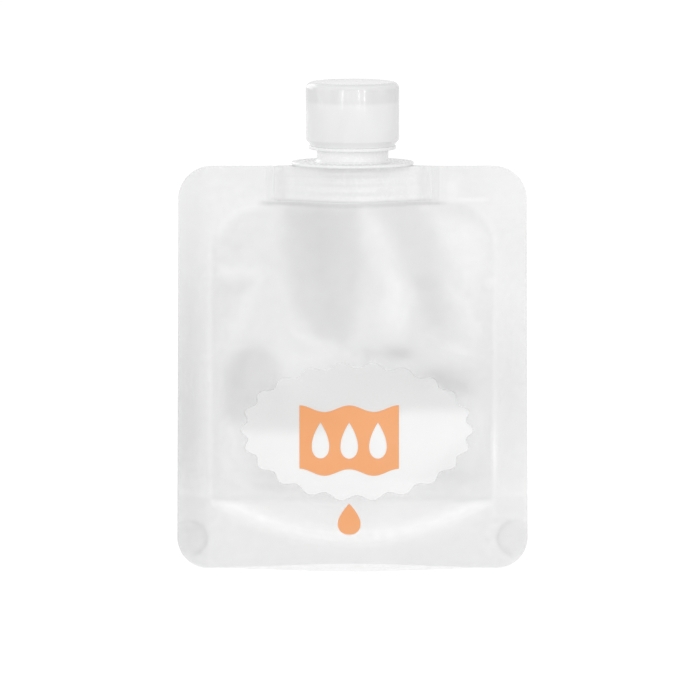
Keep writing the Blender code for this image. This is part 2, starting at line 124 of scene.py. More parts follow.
CAP_TOP = 0.001
CAP_EDGE_RADIUS = 0.0018
CAP_RING_GAP = 0.0003
CAP_FOOT = 0.0012
CAP_FOOT_HEIGHT = 0.0014
LINER = 0.0004
PANEL_LENGTH = 0.063
PANEL_HEIGHT = 0.0375
PANEL_MIDDLE_HEIGHT = 0.038
PANEL_SHIFT = 0.0012
PANEL_SCALLOP = 0.0016
PANEL_SCALLOPS = 22
MARK_LENGTH = 0.027
MARK_HEIGHT = 0.019
MARK_MIDDLE_HEIGHT = 0.0355
MARK_SHIFT = -0.0009
MARK_RIPPLE = 0.0009
MARK_RIPPLES = 2
WINDOW_DROPS = 3
WINDOW_SPACING = 0.0078
WINDOW_WIDTH = 0.0048
WINDOW_HEIGHT = 0.0098
SMALL_DROP_WIDTH = 0.0062
SMALL_DROP_HEIGHT = 0.0084
SMALL_DROP_MIDDLE_HEIGHT = 0.0143
DROP_WIDEST_SHARE = 0.77

LAYER_PITCH = FILM + WELD_GAP
ROOM_TOP = POUCH_HEIGHT - TOP_SEAL
ROOM_HALF_WIDTH = BASE_WIDTH / 2 - SIDE_SEAL
FOLD_TOP = FOLD_HEIGHT + LAYER_PITCH
BOAT_HALF_DEPTH = BORE_RADIUS + BORE_WALL
FLANGE_BOTTOM = POUCH_HEIGHT + SEAT_GAP
FLANGE_TOP = FLANGE_BOTTOM + FLANGE
NECK_RADIUS = NECK_BORE_RADIUS + NECK_WALL
NECK_TOP = FLANGE_TOP + NECK_RISE
RING_BOTTOM = FLANGE_TOP + RING_RISE
RING_TOP = RING_BOTTOM + RING
THREAD_PROUD = THREAD_RADIUS * (1 + THREAD_PROUD_SHARE)
INSERT_BOTTOM = NECK_TOP + SEAT_GAP
INSERT_TOP = INSERT_BOTTOM + INSERT_FLANGE
NOZZLE_TOP = INSERT_TOP + NOZZLE_HEIGHT
LINER_BOTTOM = NOZZLE_TOP + SEAT_GAP
CAP_BOTTOM = RING_TOP + CAP_RING_GAP
CAP_INNER_RADIUS = NECK_RADIUS + THREAD_PROUD + THREAD_CLEARANCE
CAP_RADIUS = CAP_INNER_RADIUS + CAP_WALL
CAP_INNER_TOP = LINER_BOTTOM + LINER + SEAT_GAP
CAP_HEIGHT_TOP = CAP_INNER_TOP + CAP_TOP
# The cap's foot is drawn nearer to the ring, as the photo shows no open groove
CAP_FOOT_GAP = 0.00003
CAP_FOOT_BOTTOM = RING_TOP + CAP_FOOT_GAP

# Small forms of the moulded pieces
SPOUT_ROUNDING = 0.00025
INSERT_ROUNDING = 0.0002
LINER_ROUNDING = 0.0001
FLANGE_EDGE = 0.00035
RIB_SLOPE = 0.0004
RIB_DRAWN_SHARE = 0.6
BORE_OVERRUN = 0.002
CAP_DISH = 0.00012
CAP_DISH_EDGE = 0.0009
CAP_MOUTH = 0.0002
CAP_INNER_EDGE = 0.0003
# The foot's outline: how much of its depth it is in, and of its height it is up
FOOT_SHARES = ((0, 1.12), (0.04, 1), (0.16, 0.84), (0.9, 0.12))
# Painted shade in a band where the cap's wall meets its crown, and the rows of points that carry it
SHADE_STEP = 0.0003
SHADE_STEPS_UP = 4
SHADE_ROWS = 6
SHADE_FADE_LOW = 0.0012
SHADE_FADE_HIGH = 0.0009

# How the film lies beyond the part's plain form
SEAL_CORNER_RADIUS = 0.0125
ROOM_EASE = 0.006
RELIEF_LIMIT_SHARE = 0.6
EMBOSS = 0.00003
EMBOSS_RUN = 0.0014
BEAD = 0.000005
BEAD_WIDTH = 0.0008
CREASE_DEPTH = 0.0011
CREASE_HALF_HEIGHT = 0.017
CREASE_HALF_LENGTH = 0.036
CREASE_MIDDLE_HEIGHT = 0.0405
CREASE_LEAN = 0.115
CREASE_WAVE = 0.0012
CREASE_BENDS = 120
RIB_MARK = 0.00008
RIB_MARK_FADE = 0.004
RIB_MARK_START = 0.0008
UNDER_BOAT_DEPTH = 0.0002
# Ends of marks across the film, each with how far from the middle it starts or stops and its run
BEYOND_BOAT = (BOAT_LENGTH / 2 - 0.003, 0.003)
FOLD_EDGE_START = (0.018, 0.01)
FOLD_LIGHT_START = (0.012, 0.02)
UNDER_BOAT_END = (0.0262, 0.004)
BOAT_LIGHT_END = (BOAT_LENGTH / 2 - 0.0005, 0.006)
SPOT_DARK_END = (0.0446, 0.002)
BOAT_TIP_START = (0.0165, 0.007)
# Bands along edges of the film, each with how far above the edge it lies and its half width
FOLD_EDGE = (0, 0.0004)
FOLD_LIGHT = (0.0004, 0.0009)
UNDER_BOAT_DIP = (-0.0009, 0.0007)
UNDER_BOAT_DARK = (-0.0007, 0.0006)
ARC_LIGHT = (0.0006, 0.0022)
# Where the film's tones end
TONE_EASE = 0.0015
BASE_LIGHT_DROP = 0.0008
BASE_LIGHT_FADE = 0.002
BASE_LIGHT_START = 0.001
BOAT_LIGHT_RISE = 0.001
BOAT_LIGHT_HALF_TURN = 0.004
# Half width of the painted highlight along the gusset's crest
GUSSET_CREST_HIGHLIGHT = 0.0012
CREASE_SHADE_RUN = 0.0045
CREASE_SHADE_TURN = -0.005
CREASE_SHADE_FADE = 0.02
FILM_DARK = 0.16
SMALL_DROP_BELLY = 0.0012

# The tables below give lengths in millimetres
MILLIMETRE = 0.001
# Folds of each panel: line, half width at its start and end, height outwards, and how much painted
# highlight (more than zero) or painted shade (less than zero) lies along them
FRONT_FOLDS = (
    (
        ((3.4, 98.5), (5.3, 93.4), (6.6, 86.6), (9.4, 79.7), (11.5, 76.2), (10.2, 71.5), (8.8, 65.3)),
        2.8, 3.6, 0.6, 0.5,
    ),
    (((20.5, 96.5), (30, 89), (36.6, 80.3)), 2.6, 3.4, 0.6, 0.34),
    (((26.2, 76), (30, 71.5), (34, 60)), 2.2, 2.6, 0.4, 0.25),
    (((-37.2, 80.8), (-31, 81.2), (-24.5, 80.6)), 1.9, 1.6, 0.3, 0.34),
    (((-24.6, 80.3), (-29, 71.5), (-34.5, 62)), 1.8, 3, 0.3, 0.28),
    (((-17, 65.5), (-11, 61.8), (-3.4, 59.6)), 1.6, 2.2, 0.4, 0.22),
    (((18, 65.5), (24, 60), (34, 57)), 2, 3, 0.4, 0.15),
    (((26.2, 95.5), (33, 93), (36.2, 88)), 1.8, 1.8, 0.2, 0.15),
    (((-36.6, 32), (-33, 25), (-25, 20.5)), 1.6, 2, 0.3, 0.15),
    (((35, 42), (34, 33), (29, 24)), 1.6, 2.4, 0.4, 0.15),
    (((-37.2, 90.5), (-34.5, 95.5), (-29.5, 98.6), (-24, 99.4)), 1.8, 1.6, 0.2, 0.5),
    (((18.5, 95), (19.5, 85), (18, 74)), 4, 4, -0.4, -0.1),
    (((6.8, 59.2), (12.5, 59), (17.5, 59)), 2.6, 2.4, -0.3, -0.75),
    (((1.8, 58.8), (6, 58.4)), 2.6, 2.6, -0.2, -0.65),
    (((20, 54), (26.2, 50.5), (33.5, 47.8)), 2.8, 3, -0.4, -0.45),
    (((-29, 59), (-32.5, 53), (-32, 45)), 4.6, 4.4, -0.4, -0.2),
    (((-30, 89), (-33, 84)), 3.4, 2.8, -0.3, -0.15),
    (((30.5, 76), (34.5, 70)), 3.4, 3.2, -0.2, -0.1),
)
BACK_FOLDS = (
    (((6, 96), (10.5, 85), (13.5, 74), (11, 63)), 2.4, 3, 0.5, 0.35),
    (((24, 93), (31, 83), (35, 70)), 1.8, 2.6, 0.4, 0.3),
    (((-35, 82), (-29, 73), (-30, 62)), 2.4, 3, 0.3, 0.15),
    (((-30, 44), (-18, 40), (-6, 39)), 1.6, 2.4, 0.5, 0.3),
    (((8, 46), (18, 43), (28, 42)), 1.6, 2.6, 0.5, 0.3),
    (((-34, 40), (-32, 34), (-33, 28)), 2, 2, 0.4, 0.15),
    (((-6, 96), (-8, 82), (-5, 64)), 6, 3.6, -0.4, -0.25),
    (((0, 52), (4, 42), (3, 30)), 3, 4, -0.5, -0.35),
    (((23, 76), (24, 64)), 3.6, 3, -0.4, -0.25),
)
FOLD_SKIRT_SHARE = 0.35
FOLD_END_SHARE = 0.35
FOLD_END_WIDTHS = 3
# Long soft facets of the film in the room: turn in degrees, phase, length, height
FACETS = ((72, 0.3, 31, 0.3), (-38, 2.1, 24, 0.22), (15, 4, 37, 0.26), (110, 1.1, 17, 0.1))
FACET_LEVEL = 0.6
FACET_EASE = 0.006
FACET_SHIFT = 0.01
# Waves that bend the facets: height, radians a metre across and up, phase
BENDS_ACROSS = ((4, 0, 95, 1.3), (1.5, 230, 60, 0))
BENDS_UP = ((3, 120, 0, 0.4),)
# Broad areas of painted shade on the front film: heights, left edges, right edges,
# softness, strength
FRONT_SHADE_PANES = (
    (
        (62, 65, 73.5, 83, 87, 92, 100), (-8, -11.5, -16, -18, -18.4, -18.6, -18.6),
        (-1, 0, 1.2, 3, 2.8, 1.2, 0.8), 3, 0.44,
    ),
    ((64, 73.5, 84.5, 100), (14, 15.5, 12.5, 8.5), (23.5, 24, 23.5, 19), 3.4, 0.2),
    ((40, 48, 56, 61), (-35, -35, -34, -30), (-18, -18, -20, -23), 3, 0.5),
    ((60, 70, 80), (20, 18.5, 16.5), (29, 26.5, 23.5), 3, 0.22),
)
# Patches of painted shade on the front film: x, z, half width, half height, strength
FRONT_SHADES = (
    (-45, 38, 6, 33, 0.75),
    (-44, 80, 5, 30, 0.35),
    (-21.5, 24, 5, 4.5, 0.35),
    (28.2, 24.5, 6, 5, 0.28),
    (24, 52, 11, 4.5, 0.45),
    (43, 50, 5, 16, 0.25),
    (-33, 70, 8, 9, 0.15),
    (0, 23, 30, 4, 0.2),
    (-11, 93.5, 5.5, 11, 0.1),
    (-31.8, 76.6, 4.2, 2.2, 0.28),
)
# Patches of painted highlight on the front film, in the same columns
FRONT_PAINTED_HIGHLIGHTS = (
    (44, 103, 9, 12, 0.32),
    (33, 86, 6, 9, 0.25),
    (30.5, 91.5, 3.4, 2.2, 0.35),
    (37.5, 78.3, 1.2, 1.2, 0.4),
    (46, 75, 3, 30, 0.05),
    (27, 104, 2, 3, 0.4),
    (32, 100.8, 5, 0.7, 0.4),
    (38.6, 32, 0.7, 7, 0.8),
    (-12, 58, 6, 2, 0.2),
)

# How finely the meshes are made
COLUMN_STEP = 0.0006
ROW_STEP = 0.00035
FINE_STEP = 0.00025
NORMAL_STEP = 0.00006
SAME_PLACE = 0.00003
JOIN = 0.000001
ON_AXIS = 1e-9
NO_AREA = 1e-13
FAR = 1.0
FINE_INSIDE_SEAL = 0.002
FINE_OUTSIDE_SEAL = 0.0012
ROWS_ABOVE_FOLD = 0.001
FINE_BELOW_SEAL = 0.003
CORNER_STEPS = 14
CORNER_ROWS = 5
TURN_STEPS = 128
BOAT_STATIONS = 48
EDGE_STEPS = 8
ARC_REACH_SHARE = 0.45
STRAIGHT_ANGLE = 160
SHARP_ANGLE = 35
SCALLOP_STEPS = 14
NOTCH_STEPS = 64
NOTCH_DEPTH = 0.006
PRINT_GAP = 0.00005
PRINT = 0.00008
PANEL_STEP = 0.0007
MARK_STEP = 0.0005
PRINT_EDGE_SHARE = 0.4
SAME_POINT = 0.0000001


def smooth(share):
    share = np.clip(share, 0, 1)
    return share * share * (3 - 2 * share)


def mix(low, high, share):
    return low + (high - low) * share


def band(value, middle, width):
    """1 in the middle of a band, falling off to both its sides."""
    return np.exp(-(((value - middle) / width) ** 2))


def within(x, stop, run):
    """1 at the middle of the film, falling to 0 where it stops."""
    return smooth((stop - np.abs(x)) / run)


def beyond(x, start, run):
    """0 at the middle of the film, rising to 1 over a run from the start."""
    return smooth((np.abs(x) - start) / run)


def metres(value):
    """A length, or tuples of them, from the tables' millimetres."""
    if isinstance(value, tuple):
        return tuple(metres(part) for part in value)
    return value * MILLIMETRE


def spaced(*runs):
    """Sorted places from runs of (start, end, step), each run's ends kept."""
    places = []
    for start, end, step in runs:
        count = max(round((end - start) / step), 1)
        places += [mix(start, end, i / count) for i in range(count + 1)]
    places.sort()
    kept = [places[0]]
    for place in places[1:]:
        if place - kept[-1] > SAME_PLACE:
            kept.append(place)
    return kept


# Where the film lies


def straight_half_width(z):
    return mix(BASE_WIDTH, TOP_WIDTH, z / POUCH_HEIGHT) / 2


def half_width(z):
    z = np.asarray(z, float)
    width = straight_half_width(z)
    for radius, depth in (
        (BASE_CORNER_RADIUS, BASE_CORNER_RADIUS - z),
        (TOP_CORNER_RADIUS, z - POUCH_HEIGHT + TOP_CORNER_RADIUS),
    ):
        depth = np.maximum(depth, 0)
        width = width - np.where(depth > 0, radius - np.sqrt(np.maximum(radius**2 - depth**2, 0)), 0)
    return width


def boat_half_depth(x):
    share = np.minimum(np.abs(x) / (BOAT_LENGTH / 2), 1)
    return mix(BOAT_TIP / 2, BOAT_HALF_DEPTH, np.cos(pi / 2 * share) ** 2)


def channel_share(z):
    return smooth((z - ROOM_TOP + CHANNEL_LENGTH) / CHANNEL_LENGTH)


def boat_bulge(x, z):
    share = channel_share(z)
    x = np.abs(x) / mix(CHANNEL_NARROW_SHARE, 1, share)
    past_tip = np.maximum(x - BOAT_LENGTH / 2, 0)
    needed = boat_half_depth(x) + WELD_GAP + FILM / 2 - LAYER_PITCH / 2 - past_tip * TIP_FADE_SHARE
    return share * (needed + np.hypot(needed, BOAT_BLEND)) / 2


def film_offset(x, z):
    layers = mix(3, 1, smooth((z - FOLD_TOP) / WELD_STEP_RUN))
    open_across = smooth(1 - np.abs(x) / ROOM_HALF_WIDTH)
    open_down = np.maximum(1 - z / ROOM_TOP, 0)
    weld = layers * LAYER_PITCH / 2
    return weld + BASE_OPENING * open_across * open_down + boat_bulge(x, z)


def weld_height(x):
    share = np.minimum(np.abs(x) / ROOM_HALF_WIDTH, 1)
    return mix(FOLD_WELD_MIDDLE, FOLD_HEIGHT, share**2)


def seal_distance(x, z):
    """How far a point lies outside the inner edge of the side and top welds."""
    across = np.abs(x) - (ROOM_HALF_WIDTH - SEAL_CORNER_RADIUS)
    up = z - (ROOM_TOP - SEAL_CORNER_RADIUS)
    outside = np.hypot(np.maximum(across, 0), np.maximum(up, 0))
    return outside + np.minimum(np.maximum(across, up), 0) - SEAL_CORNER_RADIUS


def weld_distance(x, z):
    """How far a point lies above the arc where the gusset's weld ends."""
    share = np.minimum(np.abs(x) / ROOM_HALF_WIDTH, 1)
    slope = 2 * share * (FOLD_HEIGHT - FOLD_WELD_MIDDLE) / ROOM_HALF_WIDTH
    return (z - weld_height(x)) / np.sqrt(1 + slope**2)


def spot_distance(x, z):
    middle = straight_half_width(SPOT_WELD_HEIGHT) - SPOT_WELD_INSET
    return np.hypot(np.abs(x) - middle, z - SPOT_WELD_HEIGHT) - SPOT_WELD_RADIUS


def to_edges(x, z):
    """How far a point is from each weld's edge, and how near to the seal, the spots and the open room."""
    to_seal = seal_distance(x, z)
    to_spot = spot_distance(x, z)
    at_seal = band(to_seal, 0, BEAD_WIDTH) * beyond(x, *BEYOND_BOAT)
    at_spot = band(to_spot, 0, BEAD_WIDTH)
    in_room = smooth(0.5 - to_seal / BEAD_WIDTH)
    return to_seal, weld_distance(x, z), to_spot, at_seal, at_spot, in_room


def room_share(x, z):
    """1 in the open film, falling to 0 at its welds."""
    inside = smooth(-seal_distance(x, z) / ROOM_EASE)
    return inside * smooth(weld_distance(x, z) / ROOM_EASE)


def to_line(x, z, line):
    """How far points lie from a line, and how far along it the nearest place is."""
    nearest = np.full_like(x, FAR)
    place = np.zeros_like(x)
    done = 0
    for (x0, z0), (x1, z1) in zip(line, line[1:]):
        step = dist((x0, z0), (x1, z1))
        held = np.clip(((x - x0) * (x1 - x0) + (z - z0) * (z1 - z0)) / step**2, 0, 1)
        away = np.hypot(x - x0 - held * (x1 - x0), z - z0 - held * (z1 - z0))
        closer = away < nearest
        nearest = np.where(closer, away, nearest)
        place = np.where(closer, done + held * step, place)
        done += step
    return nearest, place


def fold_share(x, z, fold):
    """1 along a fold's line, falling off to its sides and ends."""
    line, start_width, end_width = metres(fold[:3])
    nearest, place = to_line(x, z, line)
    length = sum(dist(a, b) for a, b in zip(line, line[1:]))
    width = mix(start_width, end_width, place / length)
    ends = smooth(FOLD_END_SHARE + np.minimum(place, length - place) / (FOLD_END_WIDTHS * width))
    skirt = 1 / (1 + (nearest / width) ** 2) ** 2
    return ends * mix(band(nearest, 0, width), skirt, FOLD_SKIRT_SHARE)


def pane_share(x, z, pane):
    heights, lefts, rights, soft = metres(pane[:4])
    across = np.minimum(x - np.interp(z, heights, lefts), np.interp(z, heights, rights) - x)
    up = np.minimum(z - heights[0], heights[-1] - z)
    return pane[4] * smooth(0.5 + across / (2 * soft)) * smooth(0.5 + up / (2 * soft))


def patch_share(x, z, patch):
    x0, z0, across, up = metres(patch[:4])
    return patch[4] * band(x, x0, across) * band(z, z0, up)


def bent(x, z, waves):
    return sum(metres(rise) * np.sin(x * across + z * up + phase) for rise, across, up, phase in waves)


def facets(x, z):
    """Soft crests between shallow dips, as film takes when it has been squeezed."""
    height = np.zeros_like(x)
    bent_x = x + bent(x, z, BENDS_ACROSS)
    bent_z = z + bent(x, z, BENDS_UP)
    for turn, phase, length, rise in FACETS:
        along = bent_x * cos(radians(turn)) + bent_z * sin(radians(turn))
        wave = np.sin(pi * along / metres(length) + phase)
        height += metres(rise) * (FACET_LEVEL - np.sqrt(wave**2 + FACET_EASE))
    return height


def crease_height(x):
    """The fold across the printed panel, a little higher to the right."""
    return CREASE_MIDDLE_HEIGHT + CREASE_LEAN * x + CREASE_WAVE * np.sin(x * CREASE_BENDS)


def film_relief(side, x, z):
    """What the real film adds to the plain panel: outwards is more than zero."""
    relief = facets(x * -side, z + FACET_SHIFT * side)
    for fold in FRONT_FOLDS if side < 0 else BACK_FOLDS:
        relief += metres(fold[3]) * fold_share(x, z, fold)
    if side < 0:
        near = smooth(1 - np.abs(z - crease_height(x)) / CREASE_HALF_HEIGHT)
        relief -= CREASE_DEPTH * near * smooth(1 - np.abs(x) / CREASE_HALF_LENGTH)
    deepest = (film_offset(x, z) - LAYER_PITCH / 2) * RELIEF_LIMIT_SHARE
    relief = np.maximum(relief * room_share(x, z), -deepest)
    # The welds' edges stand out a little, and the boat's ribs press in
    to_seal, to_weld, to_spot, at_seal, at_spot, in_room = to_edges(x, z)
    relief += EMBOSS * smooth(-to_seal / EMBOSS_RUN) * smooth(to_weld / EMBOSS_RUN)
    relief += BEAD * at_seal * smooth(0.5 + to_weld / BEAD_WIDTH)
    relief += BEAD * band(to_weld, 0, BEAD_WIDTH) * in_room
    relief -= 0.4 * EMBOSS * smooth(0.5 - to_spot / (2 * BEAD_WIDTH))
    relief += 0.5 * BEAD * at_spot
    relief += 0.6 * BEAD * band(z - FOLD_HEIGHT, *FOLD_EDGE) * beyond(x, *FOLD_EDGE_START)
    up = z - ROOM_TOP
    dip = smooth(0.5 + 1.6 * np.sin(tau * (up / (TOP_SEAL / RIB_COUNT) - 0.5)))
    relief -= RIB_MARK * dip * within(x, BOAT_LENGTH / 2, RIB_MARK_FADE) * smooth(up / RIB_MARK_START)
    relief -= UNDER_BOAT_DEPTH * band(up, *UNDER_BOAT_DIP) * within(x, *UNDER_BOAT_END)
    return relief


def film_middle(side, x, z):
    return side * (film_offset(x, z) + film_relief(side, x, z))


def film_normal(side, x, z):
    step = NORMAL_STEP
    by_x = (film_middle(side, x + step, z) - film_middle(side, x - step, z)) / (2 * step)
    by_z = (film_middle(side, x, z + step) - film_middle(side, x, z - step)) / (2 * step)
    normal = np.stack([-side * by_x, np.full_like(by_x, side), -side * by_z], axis=-1)
    return normal / np.linalg.norm(normal, axis=-1, keepdims=True)


def film_tones(side, x, z):
    """How much painted highlight, painted shade and clearness the film has at a point, each from 0 to 1."""
    light = np.zeros_like(x)
    dark = np.zeros_like(x)
    # Painted highlight and painted shade along the folds
    for fold in FRONT_FOLDS if side < 0 else BACK_FOLDS:
        share = fold_share(x, z, fold)
        light += max(fold[4], 0) * share
        dark += max(-fold[4], 0) * share
    to_seal, to_weld, to_spot, at_seal, at_spot, in_room = to_edges(x, z)
    # Painted shade over broad areas of the front film
    if side < 0:
        dark += sum(pane_share(x, z, pane) for pane in FRONT_SHADE_PANES)
    open_share = smooth(0.2 - to_seal / TONE_EASE) * smooth(0.2 + to_weld / TONE_EASE)
    light *= open_share
    dark = (dark + FILM_DARK) * open_share
    # Patches of painted highlight and painted shade on the front film
    if side < 0:
        light += sum(patch_share(x, z, patch) for patch in FRONT_PAINTED_HIGHLIGHTS)
        dark += sum(patch_share(x, z, patch) for patch in FRONT_SHADES)
    # Painted highlight along the inner edge of the side and top welds
    light += 0.04 * at_seal
    # Painted highlight along the arc of the gusset's weld, and the film lighter between the arc and the
    # fold
    in_base = smooth((FOLD_TOP - BASE_LIGHT_DROP - z) / BASE_LIGHT_FADE) * in_room
    light += (0.45 * band(to_weld, *ARC_LIGHT) + 0.30 * smooth(to_weld / BASE_LIGHT_START)) * in_base
    # A painted highlight just above the gusset's fold, away from the middle
    light += 0.05 * band(z - FOLD_TOP, *FOLD_LIGHT) * beyond(x, *FOLD_LIGHT_START)
    dark += 0.20 * smooth(0.5 - to_spot / (3 * BEAD_WIDTH))
    dark += 0.24 * at_spot * within(x, *SPOT_DARK_END)
    # Painted shadow in a line under the boat
    dark += 0.50 * band(z - ROOM_TOP, *UNDER_BOAT_DARK) * within(x, *UNDER_BOAT_END)
    # Painted light on the film over the boat, stronger towards the right
    on_boat = smooth((z - ROOM_TOP) / BOAT_LIGHT_RISE) * within(x, *BOAT_LIGHT_END)
    to_right = smooth(0.5 + x / (2 * BOAT_LIGHT_HALF_TURN))
    light += mix(0.50, 0.95, to_right) * on_boat
    return np.clip(light, 0, 1), np.clip(dark, 0, 1), on_boat


def covered_share(x, z):
    """1 where the print hides the film, so that the film can be clear behind it."""
    panel = np.hypot(
        (x - PANEL_SHIFT) / (PANEL_LENGTH / 2 - PANEL_SCALLOP),
        (z - PANEL_MIDDLE_HEIGHT) / (PANEL_HEIGHT / 2 - PANEL_SCALLOP),
    )
    drop = np.hypot(
        (x - MARK_SHIFT) / (SMALL_DROP_WIDTH * 0.4),
        (z - SMALL_DROP_MIDDLE_HEIGHT + SMALL_DROP_BELLY) / (SMALL_DROP_HEIGHT * 0.32),
    )
    return np.maximum(smooth((1 - panel) * 15), smooth((1 - drop) * 5))


# Materials

PLASTIC_IOR = 1.5
FILM_BUMP = 0.0006
GRAIN_BUMP = 0.0001
# How much bluer than red and green the greys are
COOLNESS = 1.004
# The inks, each with its light and its dark shade
WHITE_INK = ((0.975, 0.975, 0.975), (0.945, 0.948, 0.945))
ORANGE_INK = ((0.95, 0.42, 0.17), (0.92, 0.385, 0.145))
# Where most of a noise's values lie
NOISE_LOW = 0.3
NOISE_HIGH = 0.7


def link(tree, source, socket):
    if isinstance(source, (int, float, tuple)):
        socket.default_value = source
    else:
        tree.links.new(source, socket)


def new_node(tree, kind, inputs):
    """A shader node, with a value or a link in each input that is named or numbered."""
    made = tree.nodes.new("ShaderNode" + kind)
    for key, source in inputs.items():
        link(tree, source, made.inputs[key])
    return made


class Nodes:
    """A material's node tree, with short calls for the nodes that these materials use."""

    def __init__(self, name):
        self.material = bpy.data.materials.new(name)
        self.material.use_nodes = True
        self.tree = self.material.node_tree
        self.shader = self.tree.nodes["Principled BSDF"]
        self.place = new_node(self.tree, "TexCoord", {}).outputs["Object"]

    def noise(self, scale, detail, roughness, stretch=None, distortion=0.0):
        place = self.place
        if stretch:
            place = new_node(self.tree, "Mapping", {"Vector": place, "Scale": stretch}).outputs["Vector"]
        inputs = {"Vector": place, "Scale": scale, "Detail": detail, "Roughness": roughness}
        made = new_node(self.tree, "TexNoise", inputs)
        made.inputs["Distortion"].default_value = distortion
        return made.outputs["Fac"]

    def attribute(self, name):
        made = new_node(self.tree, "Attribute", {})
        made.attribute_name = name
        return made.outputs["Fac"]

    def maths(self, operation, first, second, clamp=False):
        made = new_node(self.tree, "Math", {0: first, 1: second})
        made.operation = operation
        made.use_clamp = clamp
        return made.outputs[0]

    def ranged(self, source, to_low, to_high, low=NOISE_LOW, high=NOISE_HIGH):
        """Values from low to high, spread over another range."""
        inputs = {"Value": source, "From Min": low, "From Max": high, "To Min": to_low, "To Max": to_high}
        return new_node(self.tree, "MapRange", inputs).outputs["Result"]

    def fading(self, source, level):
        """1 where the source is 0, and the level where it is 1."""
        return self.ranged(source, 1, level, 0, 1)

    def mixed(self, share, *colours):
        made = new_node(self.tree, "Mix", {})
        made.data_type = "RGBA"
        link(self.tree, share, made.inputs["Factor"])
        for key, colour in zip("AB", colours):
            link(self.tree, (*colour, 1) if isinstance(colour, tuple) else colour, made.inputs[key])
        return made.outputs["Result"]

    def bump(self, height, strength, distance):
        inputs = {"Height": height, "Strength": strength, "Distance": distance}
        self.put("Normal", new_node(self.tree, "Bump", inputs).outputs["Normal"])

    def put(self, name, source):
        link(self.tree, source, self.shader.inputs[name])


def grey(level):
    return (level, level, level * COOLNESS)


def film_material(name, body):
    """Clear film, with painted highlights where its light tone is set and painted shade where its dark tone
    is set.
    """
    made = Nodes(name)
    cloud = made.noise(34, 4, 0.55, distortion=0.6)
    fine = made.noise(420, 2, 0.5)
    # The light tone carries painted highlight and the dark tone painted shade, in both colour and alpha
    light = made.attribute("light")
    dark = made.attribute("dark")
    base = made.mixed(made.ranged(cloud, 0, 1), grey(0.72), grey(0.83))
    base = made.mixed(light, base, grey(0.98))
    base = made.mixed(dark, base, grey(0.50))
    made.put("Base Color", base)
    alpha = made.ranged(cloud, body * 0.9, body * 1.12, 0.25, 0.75)
    alpha = made.maths("MULTIPLY", alpha, made.fading(made.attribute("clear"), 0.5))
    alpha = made.maths("MULTIPLY", alpha, made.fading(light, 0.25))
    alpha = made.maths("ADD", alpha, made.maths("MULTIPLY", dark, 0.11))
    alpha = made.maths("ADD", alpha, made.ranged(fine, -0.008, 0.008, 0.2, 0.8), True)
    alpha = made.maths("MULTIPLY", alpha, made.fading(made.attribute("bare"), 0.05))
    made.put("Alpha", alpha)
    made.put("Roughness", made.ranged(cloud, 0.13, 0.24))
    grain = made.maths("ADD", made.noise(160, 3, 0.5), made.maths("MULTIPLY", fine, 0.25))
    made.bump(grain, 0.12, FILM_BUMP)
    made.put("IOR", PLASTIC_IOR)
    return made.material


def plastic_material(name, dark, light, body, roughness):
    """Milky natural moulded plastic, with faint flow marks and painted shade where a piece's dark tone sets
    it.
    """
    made = Nodes(name)
    flow = made.noise(70, 3, 0.5, stretch=(1, 1, 0.4), distortion=0.3)
    fine = made.noise(1400, 2, 0.5)
    base = made.mixed(made.ranged(flow, 0, 1), grey(dark), grey(light))
    # Painted shade from the piece's dark tone, such as the band in the cap
    made.put("Base Color", made.mixed(made.attribute("dark"), base, grey(0.6)))
    alpha = made.ranged(flow, body - 0.02, body + 0.02)
    made.put("Alpha", made.maths("MULTIPLY", alpha, made.fading(made.attribute("thin"), 0.08)))
    made.put("Roughness", made.ranged(fine, roughness - 0.03, roughness + 0.03))
    made.bump(fine, 0.04, GRAIN_BUMP)
    made.put("IOR", PLASTIC_IOR)
    return made.material


def print_material(name, light, dark, clearness):
    """Ink with a fine grain, a little cloudy, with painted shade above the panel's crease and under the
    film's painted shade.
    """
    made = Nodes(name)
    cloud = made.noise(120, 4, 0.6)
    grain = made.noise(2600, 2, 0.6)
    base = made.mixed(made.ranged(grain, 0, 0.35), light, dark)
    base = made.mixed(made.ranged(cloud, 0, 0.3, 0.35, 0.75), base, dark)
    # Painted shade from the print's dark tone
    base = made.mixed(made.attribute("dark"), base, tuple(level * 0.84 for level in dark))
    made.put("Base Color", base)
    made.put("Alpha", made.ranged(grain, clearness - 0.03, clearness, 0.2, 0.8))
    made.put("Roughness", made.ranged(cloud, 0.3, 0.42))
    made.bump(grain, 0.06, GRAIN_BUMP)
    return made.material


def foam_material(name):
    made = Nodes(name)
    cells = made.noise(1800, 3, 0.6)
    made.put("Base Color", made.mixed(cells, grey(0.86), grey(0.93)))
    made.put("Roughness", made.ranged(cells, 0.5, 0.7))
    made.bump(cells, 0.3, GRAIN_BUMP)
    return made.material


# Meshes


def new_piece(name, data, finish=None):
    made = bpy.data.objects.new(name, data)
    bpy.context.scene.collection.objects.link(made)
    if finish:
        data.materials.append(finish)
    return made


def give_tone(mesh, label, values):
    held = mesh.attributes.new(label, "FLOAT", "POINT")
    held.data.foreach_set("value", np.asarray(values, np.float32))


